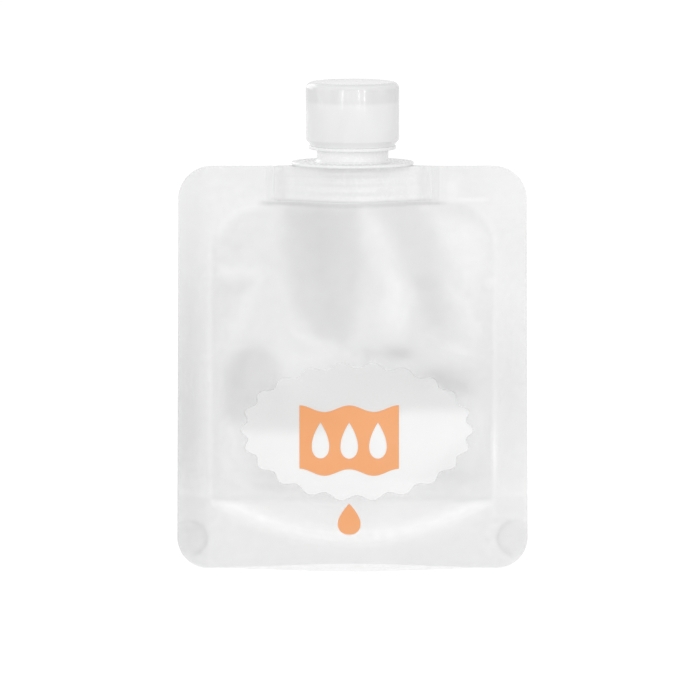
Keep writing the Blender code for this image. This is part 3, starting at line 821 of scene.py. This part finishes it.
def shell_piece(name, outer, inner, normals, faces, cut, finish, tones):
    """A thin closed sheet between two like surfaces.

    Border edges whose ends are both in cut stay open, because the next piece goes on there. The smooth
    normals come from the whole film, so no seam shows.
    """
    used = sorted({i for face in faces for i in face})
    index = {old: new for new, old in enumerate(used)}
    count = len(used)
    points = np.concatenate([outer[used], inner[used]])
    near = [tuple(index[i] for i in face) for face in faces]
    made = near + [tuple(i + count for i in reversed(face)) for face in near]
    rim_first = len(made)
    edges = [edge for face in near for edge in zip(face, face[1:] + face[:1])]
    known = set(edges)
    open_ends = {index[i] for i in cut if i in index}
    for a, b in edges:
        if (b, a) not in known and not (a in open_ends and b in open_ends):
            made.append((b, a, a + count, b + count))
    mesh = bpy.data.meshes.new(name)
    mesh.from_pydata(points.tolist(), [], made)
    mesh.shade_smooth()
    smooth_normals = np.concatenate([normals[used], -normals[used]])
    loops = np.zeros(len(mesh.loops), np.int32)
    mesh.loops.foreach_get("vertex_index", loops)
    custom = smooth_normals[loops]
    for polygon in mesh.polygons[rim_first:]:
        custom[list(polygon.loop_indices)] = polygon.normal
    mesh.normals_split_custom_set(custom.tolist())
    for label, values in tones.items():
        give_tone(mesh, label, np.tile(values[used], 2))
    mesh.update()
    return new_piece(name, mesh, finish)


def film_columns():
    """Places across half the film, fine at the weld's inner edge."""
    fine_start = ROOM_HALF_WIDTH - FINE_INSIDE_SEAL
    fine_end = ROOM_HALF_WIDTH + FINE_OUTSIDE_SEAL
    return spaced(
        (0, fine_start, COLUMN_STEP),
        (fine_start, fine_end, FINE_STEP),
        (fine_end, BASE_WIDTH / 2, COLUMN_STEP),
    )


def film_rows():
    """Heights of the film's rows, which crowd where its corners are round and where it is welded."""
    turns = [pi / 2 * i / CORNER_STEPS for i in range(CORNER_ROWS)]
    corner = [BASE_CORNER_RADIUS * (1 - cos(turn)) for turn in turns]
    top = [POUCH_HEIGHT - height for height in corner]
    base_end = FOLD_TOP + ROWS_ABOVE_FOLD
    fine_start = ROOM_TOP - FINE_BELOW_SEAL
    rows = spaced(
        (corner[-1], base_end, ROW_STEP),
        (base_end, fine_start, COLUMN_STEP),
        (fine_start, ROOM_TOP, FINE_STEP),
        (ROOM_TOP, top[-1], FINE_STEP),
    )
    return corner[:-1] + rows + top[-2::-1]


def film_panel(name, side, finish):
    """A film panel in three pieces: the top weld stays on the spout, and the film below is split into two
    halves.
    """
    half = film_columns()
    across = np.array([-x for x in reversed(half[1:])] + half) / (BASE_WIDTH / 2)
    rows = np.array(film_rows())
    columns = len(across)
    share, height = np.meshgrid(across, rows)
    x = (share * half_width(height)).ravel()
    z = height.ravel()
    middle = film_middle(side, x, z)
    outer = np.stack([x, middle + side * FILM / 2, z], axis=-1)
    inner = np.stack([x, middle - side * FILM / 2, z], axis=-1)
    normals = film_normal(side, x, z)
    light, dark, clear = film_tones(side, x, z)
    bare = covered_share(x, z) * (1 if side < 0 else 0.6)
    tones = {"light": light, "dark": dark, "clear": clear, "bare": bare}
    top_row = int(np.argmin(np.abs(rows - ROOM_TOP)))
    middle_column = len(half) - 1
    parts = {"top": [], "left": [], "right": []}
    for j in range(len(rows) - 1):
        for i in range(columns - 1):
            a = j * columns + i
            face = (a, a + 1, a + columns + 1, a + columns)
            key = "top" if j >= top_row else "left" if i < middle_column else "right"
            parts[key].append(face if side < 0 else face[::-1])
    seam = {top_row * columns + i for i in range(columns)}
    split = {j * columns + middle_column for j in range(top_row + 1)}
    for key, faces in parts.items():
        cut = seam if key == "top" else seam | split
        piece = shell_piece(f"{name}_{key}", outer, inner, normals, faces, cut, finish, tones)
        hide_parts(name)
        if key == "top":
            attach(piece, "root")
        else:
            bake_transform(piece)


def inside(x, z, loop):
    """True for points inside a closed outline."""
    found = np.zeros(len(x), bool)
    for (x0, z0), (x1, z1) in zip(loop, loop[1:] + loop[:1]):
        crosses = (z0 > z) != (z1 > z)
        with np.errstate(divide="ignore", invalid="ignore"):
            at = x0 + (z - z0) * (x1 - x0) / (z1 - z0)
        found ^= crosses & (x < at)
    return found


def resampled(loop, step):
    """The same outline with no edge longer than a step, so that it can follow the film."""
    made = []
    for a, b in zip(loop, loop[1:] + loop[:1]):
        count = max(ceil(dist(a, b) / step), 1)
        made += [(mix(a[0], b[0], i / count), mix(a[1], b[1], i / count)) for i in range(count)]
    return made


def held_by(x, z, outline, windows):
    """True for points inside the outline and outside its windows."""
    found = inside(x, z, outline)
    for window in windows:
        found &= ~inside(x, z, window)
    return found


def grid_places(values, step):
    """Whole steps that reach all the values."""
    return np.arange(np.floor(min(values) / step), np.ceil(max(values) / step) + 1) * step


def print_pieces(name, node, outline, windows, layer, finish, step):
    """A printed patch that follows the front film, split at the middle like the film under it."""
    outline = resampled(outline, step)
    loops = [outline, *windows]
    points = []
    edges = []
    for loop in loops:
        first = len(points)
        points += loop
        edges += [(first + i, first + (i + 1) % len(loop)) for i in range(len(loop))]
    heights = [z for x, z in outline]
    grid = np.meshgrid(grid_places([x for x, z in outline], step), grid_places(heights, step))
    x, z = (values.ravel() for values in grid)
    keep = held_by(x, z, outline, windows)
    for loop in loops:
        keep &= to_line(x, z, loop + loop[:1])[0] > PRINT_EDGE_SHARE * step
    points += list(zip(x[keep], z[keep]))
    points += [(0.0, min(heights) - step), (0.0, max(heights) + step)]
    edges.append((len(points) - 2, len(points) - 1))
    points = [Vector(point) for point in points]
    flat, _, triangles, *_ = delaunay_2d_cdt(points, edges, [], 0, SAME_POINT)
    flat = np.array([tuple(point) for point in flat], float)
    flat[np.abs(flat[:, 0]) < JOIN, 0] = 0.0
    x, z = flat.T
    middles = np.array([flat[list(triangle)].mean(axis=0) for triangle in triangles])
    keep = held_by(*middles.T, outline, windows)
    near = film_middle(-1, x, z) - FILM / 2 - PRINT_GAP - layer * (PRINT + PRINT_GAP)
    outer = np.stack([x, near - PRINT, z], axis=-1)
    inner = np.stack([x, near, z], axis=-1)
    normals = film_normal(-1, x, z)
    # Painted shade: some of the film's painted shade, and more above the white panel's crease
    dark = 0.4 * film_tones(-1, x, z)[1]
    if layer == 0:
        above = smooth((z - crease_height(x)) / CREASE_SHADE_RUN + 0.5)
        dark += above * mix(0.76, 0.58, smooth((CREASE_SHADE_TURN - x) / CREASE_SHADE_FADE))
    dark = np.clip(dark, 0, 1)
    cut = set(np.nonzero(x == 0.0)[0].tolist())
    for key, sign in (("left", -1), ("right", 1)):
        faces = []
        for triangle, held, middle in zip(triangles, keep, middles):
            if not held or middle[0] * sign <= 0:
                continue
            a, b, c = (flat[i] for i in triangle)
            turn = (b[0] - a[0]) * (c[1] - a[1]) - (b[1] - a[1]) * (c[0] - a[0])
            if abs(turn) > NO_AREA:
                faces.append(tuple(triangle) if turn > 0 else tuple(reversed(triangle)))
        piece = shell_piece(f"{name}_{key}", outer, inner, normals, faces, cut, finish, {"dark": dark})
        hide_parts(node)
        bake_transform(piece)


def panel_outline():
    points = []
    count = PANEL_SCALLOPS * SCALLOP_STEPS
    for i in range(count):
        angle = tau * i / count
        dip = PANEL_SCALLOP / 2 * (1 - cos(PANEL_SCALLOPS * angle))
        x = PANEL_SHIFT + (PANEL_LENGTH / 2 - dip) * cos(angle)
        z = PANEL_MIDDLE_HEIGHT + (PANEL_HEIGHT / 2 - dip) * sin(angle)
        points.append((x, z))
    return points


def drop_outline(x, middle, width, height):
    steps = 72
    points = []
    for i in range(steps):
        angle = tau * i / steps
        lean = sin(angle) * sin(angle / 2) / DROP_WIDEST_SHARE
        points.append((x + width / 2 * lean, middle + height / 2 * cos(angle)))
    return points[::-1]


def banner_outline():
    steps = 60
    half = MARK_HEIGHT / 2 - MARK_RIPPLE

    def edge(i, side):
        across = i / steps - 1 / 2
        ripple = MARK_RIPPLE * cos(MARK_RIPPLES * tau * across)
        return MARK_SHIFT + MARK_LENGTH * across, MARK_MIDDLE_HEIGHT + side * half + ripple

    lower = [edge(i, -1) for i in range(steps + 1)]
    upper = [edge(i, 1) for i in range(steps, -1, -1)]
    return lower + upper


def from_bmesh(name, bm, finish=None):
    """A new object from a mesh being built, with all its faces turned outwards."""
    bmesh.ops.recalc_face_normals(bm, faces=bm.faces[:])
    mesh = bpy.data.meshes.new(name)
    bm.to_mesh(mesh)
    bm.free()
    return new_piece(name, mesh, finish)


def around(across, along, height, steps):
    """A level ring of points, round or oval."""
    turns = [tau * i / steps for i in range(steps)]
    return [(across * cos(turn), along * sin(turn), height) for turn in turns]


def turned(name, profile, finish=None):
    """A solid of revolution from (radius, height) pairs, closed unless they start on the axis."""
    bm = bmesh.new()
    rings = []
    for radius, height in profile:
        ring = [(0, 0, height)] if radius < ON_AXIS else around(radius, radius, height, TURN_STEPS)
        rings.append([bm.verts.new(point) for point in ring])
    pairs = list(zip(rings, rings[1:]))
    if profile[0][0] > 0:
        pairs.append((rings[-1], rings[0]))
    for one, two in pairs:
        for i in range(TURN_STEPS):
            j = (i + 1) % TURN_STEPS
            corners = []
            for ring, k in ((one, i), (one, j), (two, j), (two, i)):
                corner = ring[k % len(ring)]
                if corner not in corners:
                    corners.append(corner)
            bm.faces.new(corners)
    return from_bmesh(name, bm, finish)


def loft(name, rings):
    """A closed solid through rings of as many points each."""
    bm = bmesh.new()
    made = [[bm.verts.new(point) for point in ring] for ring in rings]
    for low, high in zip(made, made[1:]):
        for i in range(len(low)):
            j = (i + 1) % len(low)
            bm.faces.new((low[i], low[j], high[j], high[i]))
    bm.faces.new(made[0])
    bm.faces.new(made[-1])
    return from_bmesh(name, bm)


def rounded(points, radius):
    """A profile with its corners off the axis turned into short arcs."""
    steps = 4
    made = []
    for i, point in enumerate(points):
        here = Vector(point)
        to_before = Vector(points[i - 1]) - here
        to_after = Vector(points[(i + 1) % len(points)]) - here
        if point[0] < ON_AXIS or to_before.angle(to_after) > radians(STRAIGHT_ANGLE):
            made.append(tuple(point))
            continue
        reach = min(radius, to_before.length * ARC_REACH_SHARE, to_after.length * ARC_REACH_SHARE)
        start = here + to_before.normalized() * reach
        end = here + to_after.normalized() * reach
        for k in range(steps + 1):
            t = k / steps
            made.append(tuple(start * (1 - t) ** 2 + here * 2 * t * (1 - t) + end * t * t))
    return made


def combine(part, other, operation):
    """Joins another solid to a part, or cuts it away, and removes the other."""
    modifier = part.modifiers.new(operation.lower(), "BOOLEAN")
    modifier.operation = operation
    modifier.object = other
    bpy.context.view_layer.update()
    drawn = part.evaluated_get(bpy.context.evaluated_depsgraph_get())
    mesh = bpy.data.meshes.new_from_object(drawn)
    part.modifiers.clear()
    old = part.data
    part.data = mesh
    bpy.data.meshes.remove(old)
    bpy.data.objects.remove(other)


def shade_round(part):
    """Splits faces of many sides, drops those without area, and shades all but sharp edges smooth."""
    cage = bmesh.new()
    cage.from_mesh(part.data)
    bmesh.ops.remove_doubles(cage, verts=cage.verts, dist=JOIN)
    many = [face for face in cage.faces if len(face.verts) > 4]
    bmesh.ops.triangulate(cage, faces=many, quad_method="BEAUTY", ngon_method="BEAUTY")
    bmesh.ops.dissolve_degenerate(cage, dist=JOIN, edges=cage.edges)
    cage.to_mesh(part.data)
    cage.free()
    part.data.shade_smooth()
    part.data.set_sharp_from_angle(angle=radians(SHARP_ANGLE))


def thread(name, radius, start_angle, base, turns):
    """A thread ridge along a right-hand helix, drawn as a tube that tapers in at its ends."""
    steps = 72
    sides = 10
    rings = []
    for i in range(steps + 1):
        share = i / steps
        angle = start_angle + tau * turns * share
        taper = smooth(min(share, 1 - share) / THREAD_TAPER_SHARE)
        size = THREAD_RADIUS * float(mix(THREAD_PROUD_SHARE, 1, taper))
        ring = []
        for k in range(sides):
            turn = tau * k / sides
            out = radius + size * cos(turn)
            height = base + THREAD_LEAD * turns * share + size * sin(turn)
            ring.append((out * cos(angle), out * sin(angle), height))
        rings.append(ring)
    return loft(name, rings)


def add_threads(part, name, radius, rise, turns):
    """All starts of a thread, from a rise above the neck thread's own foot."""
    base = NECK_TOP - THREAD_TOP_MARGIN - THREAD_LEAD * NECK_THREAD_TURNS + rise
    for i in range(THREAD_STARTS):
        ridge = thread(name, radius, tau * i / THREAD_STARTS, base, turns)
        combine(part, ridge, "UNION")


def points_of(part):
    """The x, y and z of all a part's points."""
    return np.array([vertex.co for vertex in part.data.vertices]).T


def flange_rings():
    rings = []
    for k in range(EDGE_STEPS + 1):
        angle = pi * (k / EDGE_STEPS - 0.5)
        inset = FLANGE_EDGE * (1 - cos(angle))
        height = mix(FLANGE_BOTTOM, FLANGE_TOP, 0.5 + 0.5 * sin(angle))
        rings.append(around(FLANGE_LENGTH / 2 - inset, FLANGE_DEPTH / 2 - inset, height, TURN_STEPS))
    return rings


def boat_rings():
    turns = [pi * i / BOAT_STATIONS for i in range(BOAT_STATIONS + 1)]
    stations = [-BOAT_LENGTH / 2 * cos(turn) for turn in turns]
    rib = TOP_SEAL / (2 * RIB_COUNT)
    ribs = RIB_DRAWN_SHARE * RIB_DEPTH
    levels = []
    for i in range(RIB_COUNT):
        low = ROOM_TOP + 2 * rib * i
        mid = low + rib
        levels += [(low, 0), (mid, 0), (mid + RIB_SLOPE, ribs), (mid + rib - RIB_SLOPE, ribs)]
    levels.append((POUCH_HEIGHT, 0))
    rings = []
    for height, inset in levels:
        ring = []
        for side in (-1, 1):
            for x in stations[::-side]:
                depth = float(boat_half_depth(x))
                depth -= inset * (depth - BOAT_TIP / 2) / BOAT_HALF_DEPTH
                ring.append((x, side * depth, height))
        rings.append(ring)
    return rings


def spout(finish):
    """The turned neck, ring and boss, with flange, boat and thread joined on and the bore cut out."""
    ring_radius = NECK_RADIUS + RING_REACH
    low = ROOM_TOP + TOP_SEAL / 2
    boss = BOAT_HALF_DEPTH - RIB_DEPTH - SEAT_GAP
    foot_radius = NECK_RADIUS + NECK_FILLET
    cover = BOAT_HALF_DEPTH - RIB_DEPTH / 4
    profile = [
        (0, NECK_TOP),
        (NECK_RADIUS, NECK_TOP),
        (NECK_RADIUS, RING_TOP),
        (ring_radius, RING_TOP),
        (ring_radius, RING_BOTTOM),
        (NECK_RADIUS, RING_BOTTOM),
        (NECK_RADIUS, FLANGE_TOP + NECK_FILLET),
        (foot_radius, FLANGE_TOP),
        (foot_radius, FLANGE_BOTTOM + FLANGE / 2),
        (cover, FLANGE_BOTTOM + FLANGE / 2),
        (cover, POUCH_HEIGHT - SEAT_GAP / 2),
        (boss, POUCH_HEIGHT - SEAT_GAP),
        (boss, low),
        (0, low),
    ]
    made = turned("spout_fine", rounded(profile, SPOUT_ROUNDING), finish)
    combine(made, loft("flange", flange_rings()), "UNION")
    combine(made, loft("boat", boat_rings()), "UNION")
    add_threads(made, "ridge", NECK_RADIUS + THREAD_PROUD_SHARE * THREAD_RADIUS, 0, NECK_THREAD_TURNS)
    step = FLANGE_TOP + BORE_STEP_RISE
    bore = [
        (0, NECK_TOP + BORE_OVERRUN),
        (NECK_BORE_RADIUS, NECK_TOP + BORE_OVERRUN),
        (NECK_BORE_RADIUS, step),
        (BORE_RADIUS, step - (NECK_BORE_RADIUS - BORE_RADIUS)),
        (BORE_RADIUS, ROOM_TOP - BORE_OVERRUN),
        (0, ROOM_TOP - BORE_OVERRUN),
    ]
    combine(made, turned("bore", bore), "DIFFERENCE")
    shade_round(made)
    x, _, z = points_of(made)
    give_tone(made.data, "thin", beyond(x, *BOAT_TIP_START) * (z < POUCH_HEIGHT + SEAT_GAP / 2))
    return made


def pour_insert(finish):
    skirt = NECK_BORE_RADIUS - SEAT_GAP
    rim = NECK_RADIUS - SEAT_GAP
    foot = INSERT_BOTTOM - INSERT_DEPTH
    profile = [
        (NOZZLE_BORE_RADIUS, NOZZLE_TOP),
        (NOZZLE_BORE_RADIUS + NOZZLE_WALL - NOZZLE_TAPER, NOZZLE_TOP),
        (NOZZLE_BORE_RADIUS + NOZZLE_WALL, INSERT_TOP),
        (rim, INSERT_TOP),
        (rim, INSERT_BOTTOM),
        (skirt, INSERT_BOTTOM),
        (skirt, foot),
        (skirt - INSERT_WALL, foot),
        (skirt - INSERT_WALL, INSERT_BOTTOM),
        (NOZZLE_BORE_RADIUS, INSERT_BOTTOM),
    ]
    made = turned("pour_insert_fine", rounded(profile, INSERT_ROUNDING), finish)
    shade_round(made)
    return made


def screw_cap(finish):
    """The cap, with a rounded shoulder, a shallow dish in its crown and a foot drawn slightly in."""
    crown = CAP_RADIUS - CAP_EDGE_RADIUS
    shoulder = CAP_HEIGHT_TOP - CAP_EDGE_RADIUS
    corner = []
    for i in range(EDGE_STEPS + 1):
        turn = pi / 2 * (1 - i / EDGE_STEPS)
        height = shoulder + CAP_EDGE_RADIUS * sin(turn)
        corner.append((crown + CAP_EDGE_RADIUS * cos(turn), height))
    wall = [(CAP_RADIUS, INSERT_TOP + SHADE_STEP * (SHADE_STEPS_UP - i)) for i in range(SHADE_ROWS)]
    foot = [(CAP_RADIUS - CAP_FOOT * deep, CAP_BOTTOM + CAP_FOOT_HEIGHT * up) for deep, up in FOOT_SHARES]
    profile = [
        (0, CAP_HEIGHT_TOP - CAP_DISH),
        (CAP_RADIUS * 0.5, CAP_HEIGHT_TOP - CAP_DISH * 0.9),
        (crown - CAP_DISH_EDGE, CAP_HEIGHT_TOP - CAP_DISH * 0.4),
        *corner,
        *wall,
        *foot,
        (CAP_RADIUS - CAP_FOOT, CAP_FOOT_BOTTOM),
        (CAP_INNER_RADIUS + CAP_MOUTH, CAP_FOOT_BOTTOM),
        (CAP_INNER_RADIUS, CAP_BOTTOM + CAP_INNER_EDGE),
        (CAP_INNER_RADIUS, CAP_INNER_TOP - CAP_INNER_EDGE),
        (CAP_INNER_RADIUS - CAP_INNER_EDGE, CAP_INNER_TOP),
        (0, CAP_INNER_TOP),
    ]
    made = turned("screw_cap_fine", profile, finish)
    radius = CAP_INNER_RADIUS - THREAD_PROUD_SHARE * THREAD_RADIUS
    add_threads(made, "cap_ridge", radius, THREAD_LEAD / THREAD_STARTS / 2, CAP_THREAD_TURNS)
    shade_round(made)
    x, y, z = points_of(made)
    # Painted shade in a band round the cap's wall, just under its crown
    shade = smooth((z - INSERT_TOP) / SHADE_FADE_LOW)
    shade *= smooth((CAP_INNER_TOP + SHADE_STEP - z) / SHADE_FADE_HIGH)
    give_tone(made.data, "dark", 0.24 * shade * (np.hypot(x, y) > crown))
    return made


def cap_liner(finish):
    radius = CAP_INNER_RADIUS - SEAT_GAP
    top = LINER_BOTTOM + LINER
    profile = [(0, top), (radius, top), (radius, LINER_BOTTOM), (0, LINER_BOTTOM)]
    made = turned("cap_liner_fine", rounded(profile, LINER_ROUNDING), finish)
    shade_round(made)
    return made


def gusset(finish):
    """The base sheet: up inside both panels to the arc of its weld, then folded over between them."""
    weld_rows = 34
    arch_rows = 16
    half = weld_rows + arch_rows
    right = film_columns()[1::2]
    columns = np.array([-x for x in reversed(right)] + [0.0] + right)
    columns = columns / columns[-1]
    count = len(columns)
    weld_top = weld_height(columns * straight_half_width(FOLD_HEIGHT))
    arch = LAYER_PITCH / 2 + ARCH_SHARE * (FOLD_HEIGHT - weld_top)
    grid = np.zeros((2 * half + 1, count, 3))
    for row in range(2 * half + 1):
        side = -1 if row <= half else 1
        level = min(row, 2 * half - row)
        height = weld_top * min(level / weld_rows, 1)
        x = columns * half_width(height)
        y = film_offset(x, height) - LAYER_PITCH
        if level > weld_rows:
            angle = pi / 2 * (level - weld_rows) / arch_rows
            height = height + arch * sin(angle)
            y = y * cos(angle)
        grid[row] = np.stack([x, side * y, height], axis=-1)
    normals = np.cross(np.gradient(grid, axis=1), np.gradient(grid, axis=0))
    normals /= np.maximum(np.linalg.norm(normals, axis=-1, keepdims=True), NO_AREA)
    outer = (grid + normals * FILM / 2).reshape(-1, 3)
    inner = (grid - normals * FILM / 2).reshape(-1, 3)
    faces = []
    for j in range(2 * half):
        for i in range(count - 1):
            a = j * count + i
            faces.append((a, a + 1, a + count + 1, a + count))
    x, _, z = grid.reshape(-1, 3).T
    # The gusset half light all over, with a painted highlight along the crest at its weld's edge
    light = 0.5 + 0.3 * band(z, weld_height(x), GUSSET_CREST_HIGHLIGHT)
    tones = {"light": light, "bare": 0.5 * covered_share(x, z)}
    normals = normals.reshape(-1, 3)
    made = shell_piece("bottom_gusset_fine", outer, inner, normals, faces, set(), finish, tones)
    for side in (-1, 1):
        x = side * (straight_half_width(SPOT_WELD_HEIGHT) - SPOT_WELD_INSET)
        turn = Matrix.Translation((x, 0, SPOT_WELD_HEIGHT)) @ Matrix.Rotation(pi / 2, 4, "X")
        radii = {"radius1": SPOT_WELD_RADIUS, "radius2": SPOT_WELD_RADIUS, "depth": NOTCH_DEPTH}
        bm = bmesh.new()
        bmesh.ops.create_cone(bm, cap_ends=True, segments=NOTCH_STEPS, matrix=turn, **radii)
        combine(made, from_bmesh("notch", bm), "DIFFERENCE")
    shade_round(made)
    return made


# The scene

# Area lamps: name, place, height that they face, size, power
LAMPS = (
    ("key", (0.62, -0.95, 0.85), 0.06, (0.5, 0.5), 1.2),
    ("front", (0, -1.55, 0.24), 0.1, (2.2, 0.5), 4.6),
    ("side_left", (-1.3, -0.3, 0.4), 0.08, (1.1, 0.9), 2.5),
    ("side_right", (1.3, -0.3, 0.4), 0.08, (0.6, 0.6), 0.9),
    ("back_light", (-0.85, 0.95, 0.55), 0.06, (1.1, 0.8), 3.4),
)
# Upright strips that give the cap its bright lines: name, turn in degrees from the front, width, power
STRIPS = (
    ("strip_left", -24.8, 0.08, 1.35),
    ("strip_middle", 15.8, 0.06, 1.35),
    ("strip_right", 29.6, 0.06, 1.2),
)
STRIP_DISTANCE = 1.6
STRIP_HEIGHT = 0.455
STRIP_LENGTH = 0.9
SKY_LEVEL = 0.6
FLOOR_SIZE = 6
FLOOR_LEVEL = 0.78
FLOOR_SEEN_LEVEL = 0.3
FLOOR_GLOW = 0.855
# The camera: metres to a pixel of the photo, its size in pixels, and the point that it faces, in pixels
PIXEL = 0.0002714
PHOTO_PIXELS = 700
AIM_RIGHT = -2.5
AIM_UP = 218.7
CAMERA_RISE = 7
CAMERA_DISTANCE = 1.5
SENSOR = 36
# Light has to pass eight faces of film and more to reach the inside and the far side
CLEAR_BOUNCES = 24


def backdrop_share(tree):
    """1 for rays from the camera and for what gloss and clear surfaces show."""
    paths = new_node(tree, "LightPath", {})
    share = paths.outputs["Is Camera Ray"]
    for kind in ("Is Glossy Ray", "Is Transmission Ray"):
        larger = new_node(tree, "Math", {0: share, 1: paths.outputs[kind]})
        larger.operation = "MAXIMUM"
        share = larger.outputs[0]
    return share


def make_world():
    world = bpy.data.worlds.new("studio")
    bpy.context.scene.world = world
    world.use_nodes = True
    tree = world.node_tree
    background = tree.nodes["Background"]
    strength = new_node(tree, "MapRange", {"Value": backdrop_share(tree), "To Min": SKY_LEVEL})
    link(tree, (1, 1, 1, 1), background.inputs["Color"])
    link(tree, strength.outputs["Result"], background.inputs["Strength"])


def diffuse(tree, level):
    return new_node(tree, "BsdfDiffuse", {"Color": (level, level, level, 1)}).outputs[0]


def make_floor():
    """A white floor that looks even to the camera and takes the lamps' light and shade."""
    bm = bmesh.new()
    bmesh.ops.create_grid(bm, x_segments=8, y_segments=8, size=FLOOR_SIZE)
    floor = from_bmesh("floor", bm)
    material = bpy.data.materials.new("floor_white")
    material.use_nodes = True
    tree = material.node_tree
    tree.nodes.remove(tree.nodes["Principled BSDF"])
    glow = new_node(tree, "Emission", {"Strength": FLOOR_GLOW}).outputs[0]
    both = new_node(tree, "AddShader", {0: diffuse(tree, FLOOR_SEEN_LEVEL), 1: glow}).outputs[0]
    inputs = {0: backdrop_share(tree), 1: diffuse(tree, FLOOR_LEVEL), 2: both}
    seen = new_node(tree, "MixShader", inputs).outputs[0]
    link(tree, seen, tree.nodes["Material Output"].inputs["Surface"])
    floor.data.materials.append(material)


def add_lamp(name, place, aim_height, size, power):
    light = bpy.data.lights.new(name, "AREA")
    light.shape = "RECTANGLE"
    light.size, light.size_y = size
    light.energy = power
    lamp = new_piece(name, light)
    lamp.location = place
    lamp.rotation_euler = (Vector((0, 0, aim_height)) - Vector(place)).to_track_quat("-Z", "Y").to_euler()
    lamp.visible_camera = False


def make_lamps():
    for lamp in LAMPS:
        add_lamp(*lamp)
    for name, turn, width, power in STRIPS:
        across = STRIP_DISTANCE * sin(radians(turn))
        along = -STRIP_DISTANCE * cos(radians(turn))
        add_lamp(name, (across, along, STRIP_HEIGHT), STRIP_HEIGHT, (width, STRIP_LENGTH), power)


def make_camera():
    """The camera that looks at the bottle as the photo does."""
    rise = radians(CAMERA_RISE)
    data = bpy.data.cameras.new("camera")
    data.sensor_width = SENSOR
    data.lens = SENSOR * CAMERA_DISTANCE / (PHOTO_PIXELS * PIXEL)
    camera = new_piece("camera", data)
    target = Vector((AIM_RIGHT * PIXEL, 0, AIM_UP * PIXEL / cos(rise)))
    back = Vector((0, -cos(rise), sin(rise)))
    camera.location = target + back * CAMERA_DISTANCE
    camera.rotation_euler = (-back).to_track_quat("-Z", "Y").to_euler()
    bpy.context.scene.camera = camera


def main():
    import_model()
    scene = bpy.context.scene
    scene.view_settings.view_transform = "Standard"
    scene.cycles.transparent_max_bounces = CLEAR_BOUNCES

    clear_film = film_material("clear_film_fine", body=0.185)
    gusset_film = film_material("gusset_film_fine", body=0.028)
    spout_plastic = plastic_material("spout_plastic_fine", dark=0.95, light=0.98, body=0.93, roughness=0.26)
    insert_plastic = plastic_material(
        "insert_plastic_fine", dark=0.94, light=0.97, body=0.96, roughness=0.26
    )
    cap_plastic = plastic_material("cap_plastic_fine", dark=0.88, light=0.915, body=0.96, roughness=0.11)
    liner_foam = foam_material("liner_foam_fine")
    white_print = print_material("white_print_fine", *WHITE_INK, clearness=0.97)
    orange_print = print_material("orange_print_fine", *ORANGE_INK, clearness=0.98)

    film_panel("front_film", -1, clear_film)
    film_panel("back_film", 1, clear_film)
    base = gusset(gusset_film)
    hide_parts("bottom_gusset")
    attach(base, "root")
    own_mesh(base)

    for made, node, slot, body in (
        (spout(spout_plastic), "spout", "spout_plastic", "root"),
        (pour_insert(insert_plastic), "pour_insert", "insert_plastic", "root"),
        (screw_cap(cap_plastic), "screw_cap", "cap_plastic", "cap"),
        (cap_liner(liner_foam), "cap_liner", "liner_foam", "liner"),
    ):
        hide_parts(node)
        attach(made, body)

    windows = []
    for i in range(WINDOW_DROPS):
        x = MARK_SHIFT + WINDOW_SPACING * (i - (WINDOW_DROPS - 1) / 2)
        windows.append(drop_outline(x, MARK_MIDDLE_HEIGHT, WINDOW_WIDTH, WINDOW_HEIGHT))
    drop = drop_outline(MARK_SHIFT, SMALL_DROP_MIDDLE_HEIGHT, SMALL_DROP_WIDTH, SMALL_DROP_HEIGHT)
    panel = panel_outline()
    banner = banner_outline()
    print_pieces("label_panel", "front_label", panel, [], 0, white_print, PANEL_STEP)
    print_pieces("label_banner", "label_motif", banner, windows, 1, orange_print, MARK_STEP)
    print_pieces("label_drop", "small_drop", drop, [], 0, orange_print, MARK_STEP)

    make_world()
    make_floor()
    make_lamps()
    make_camera()


main()
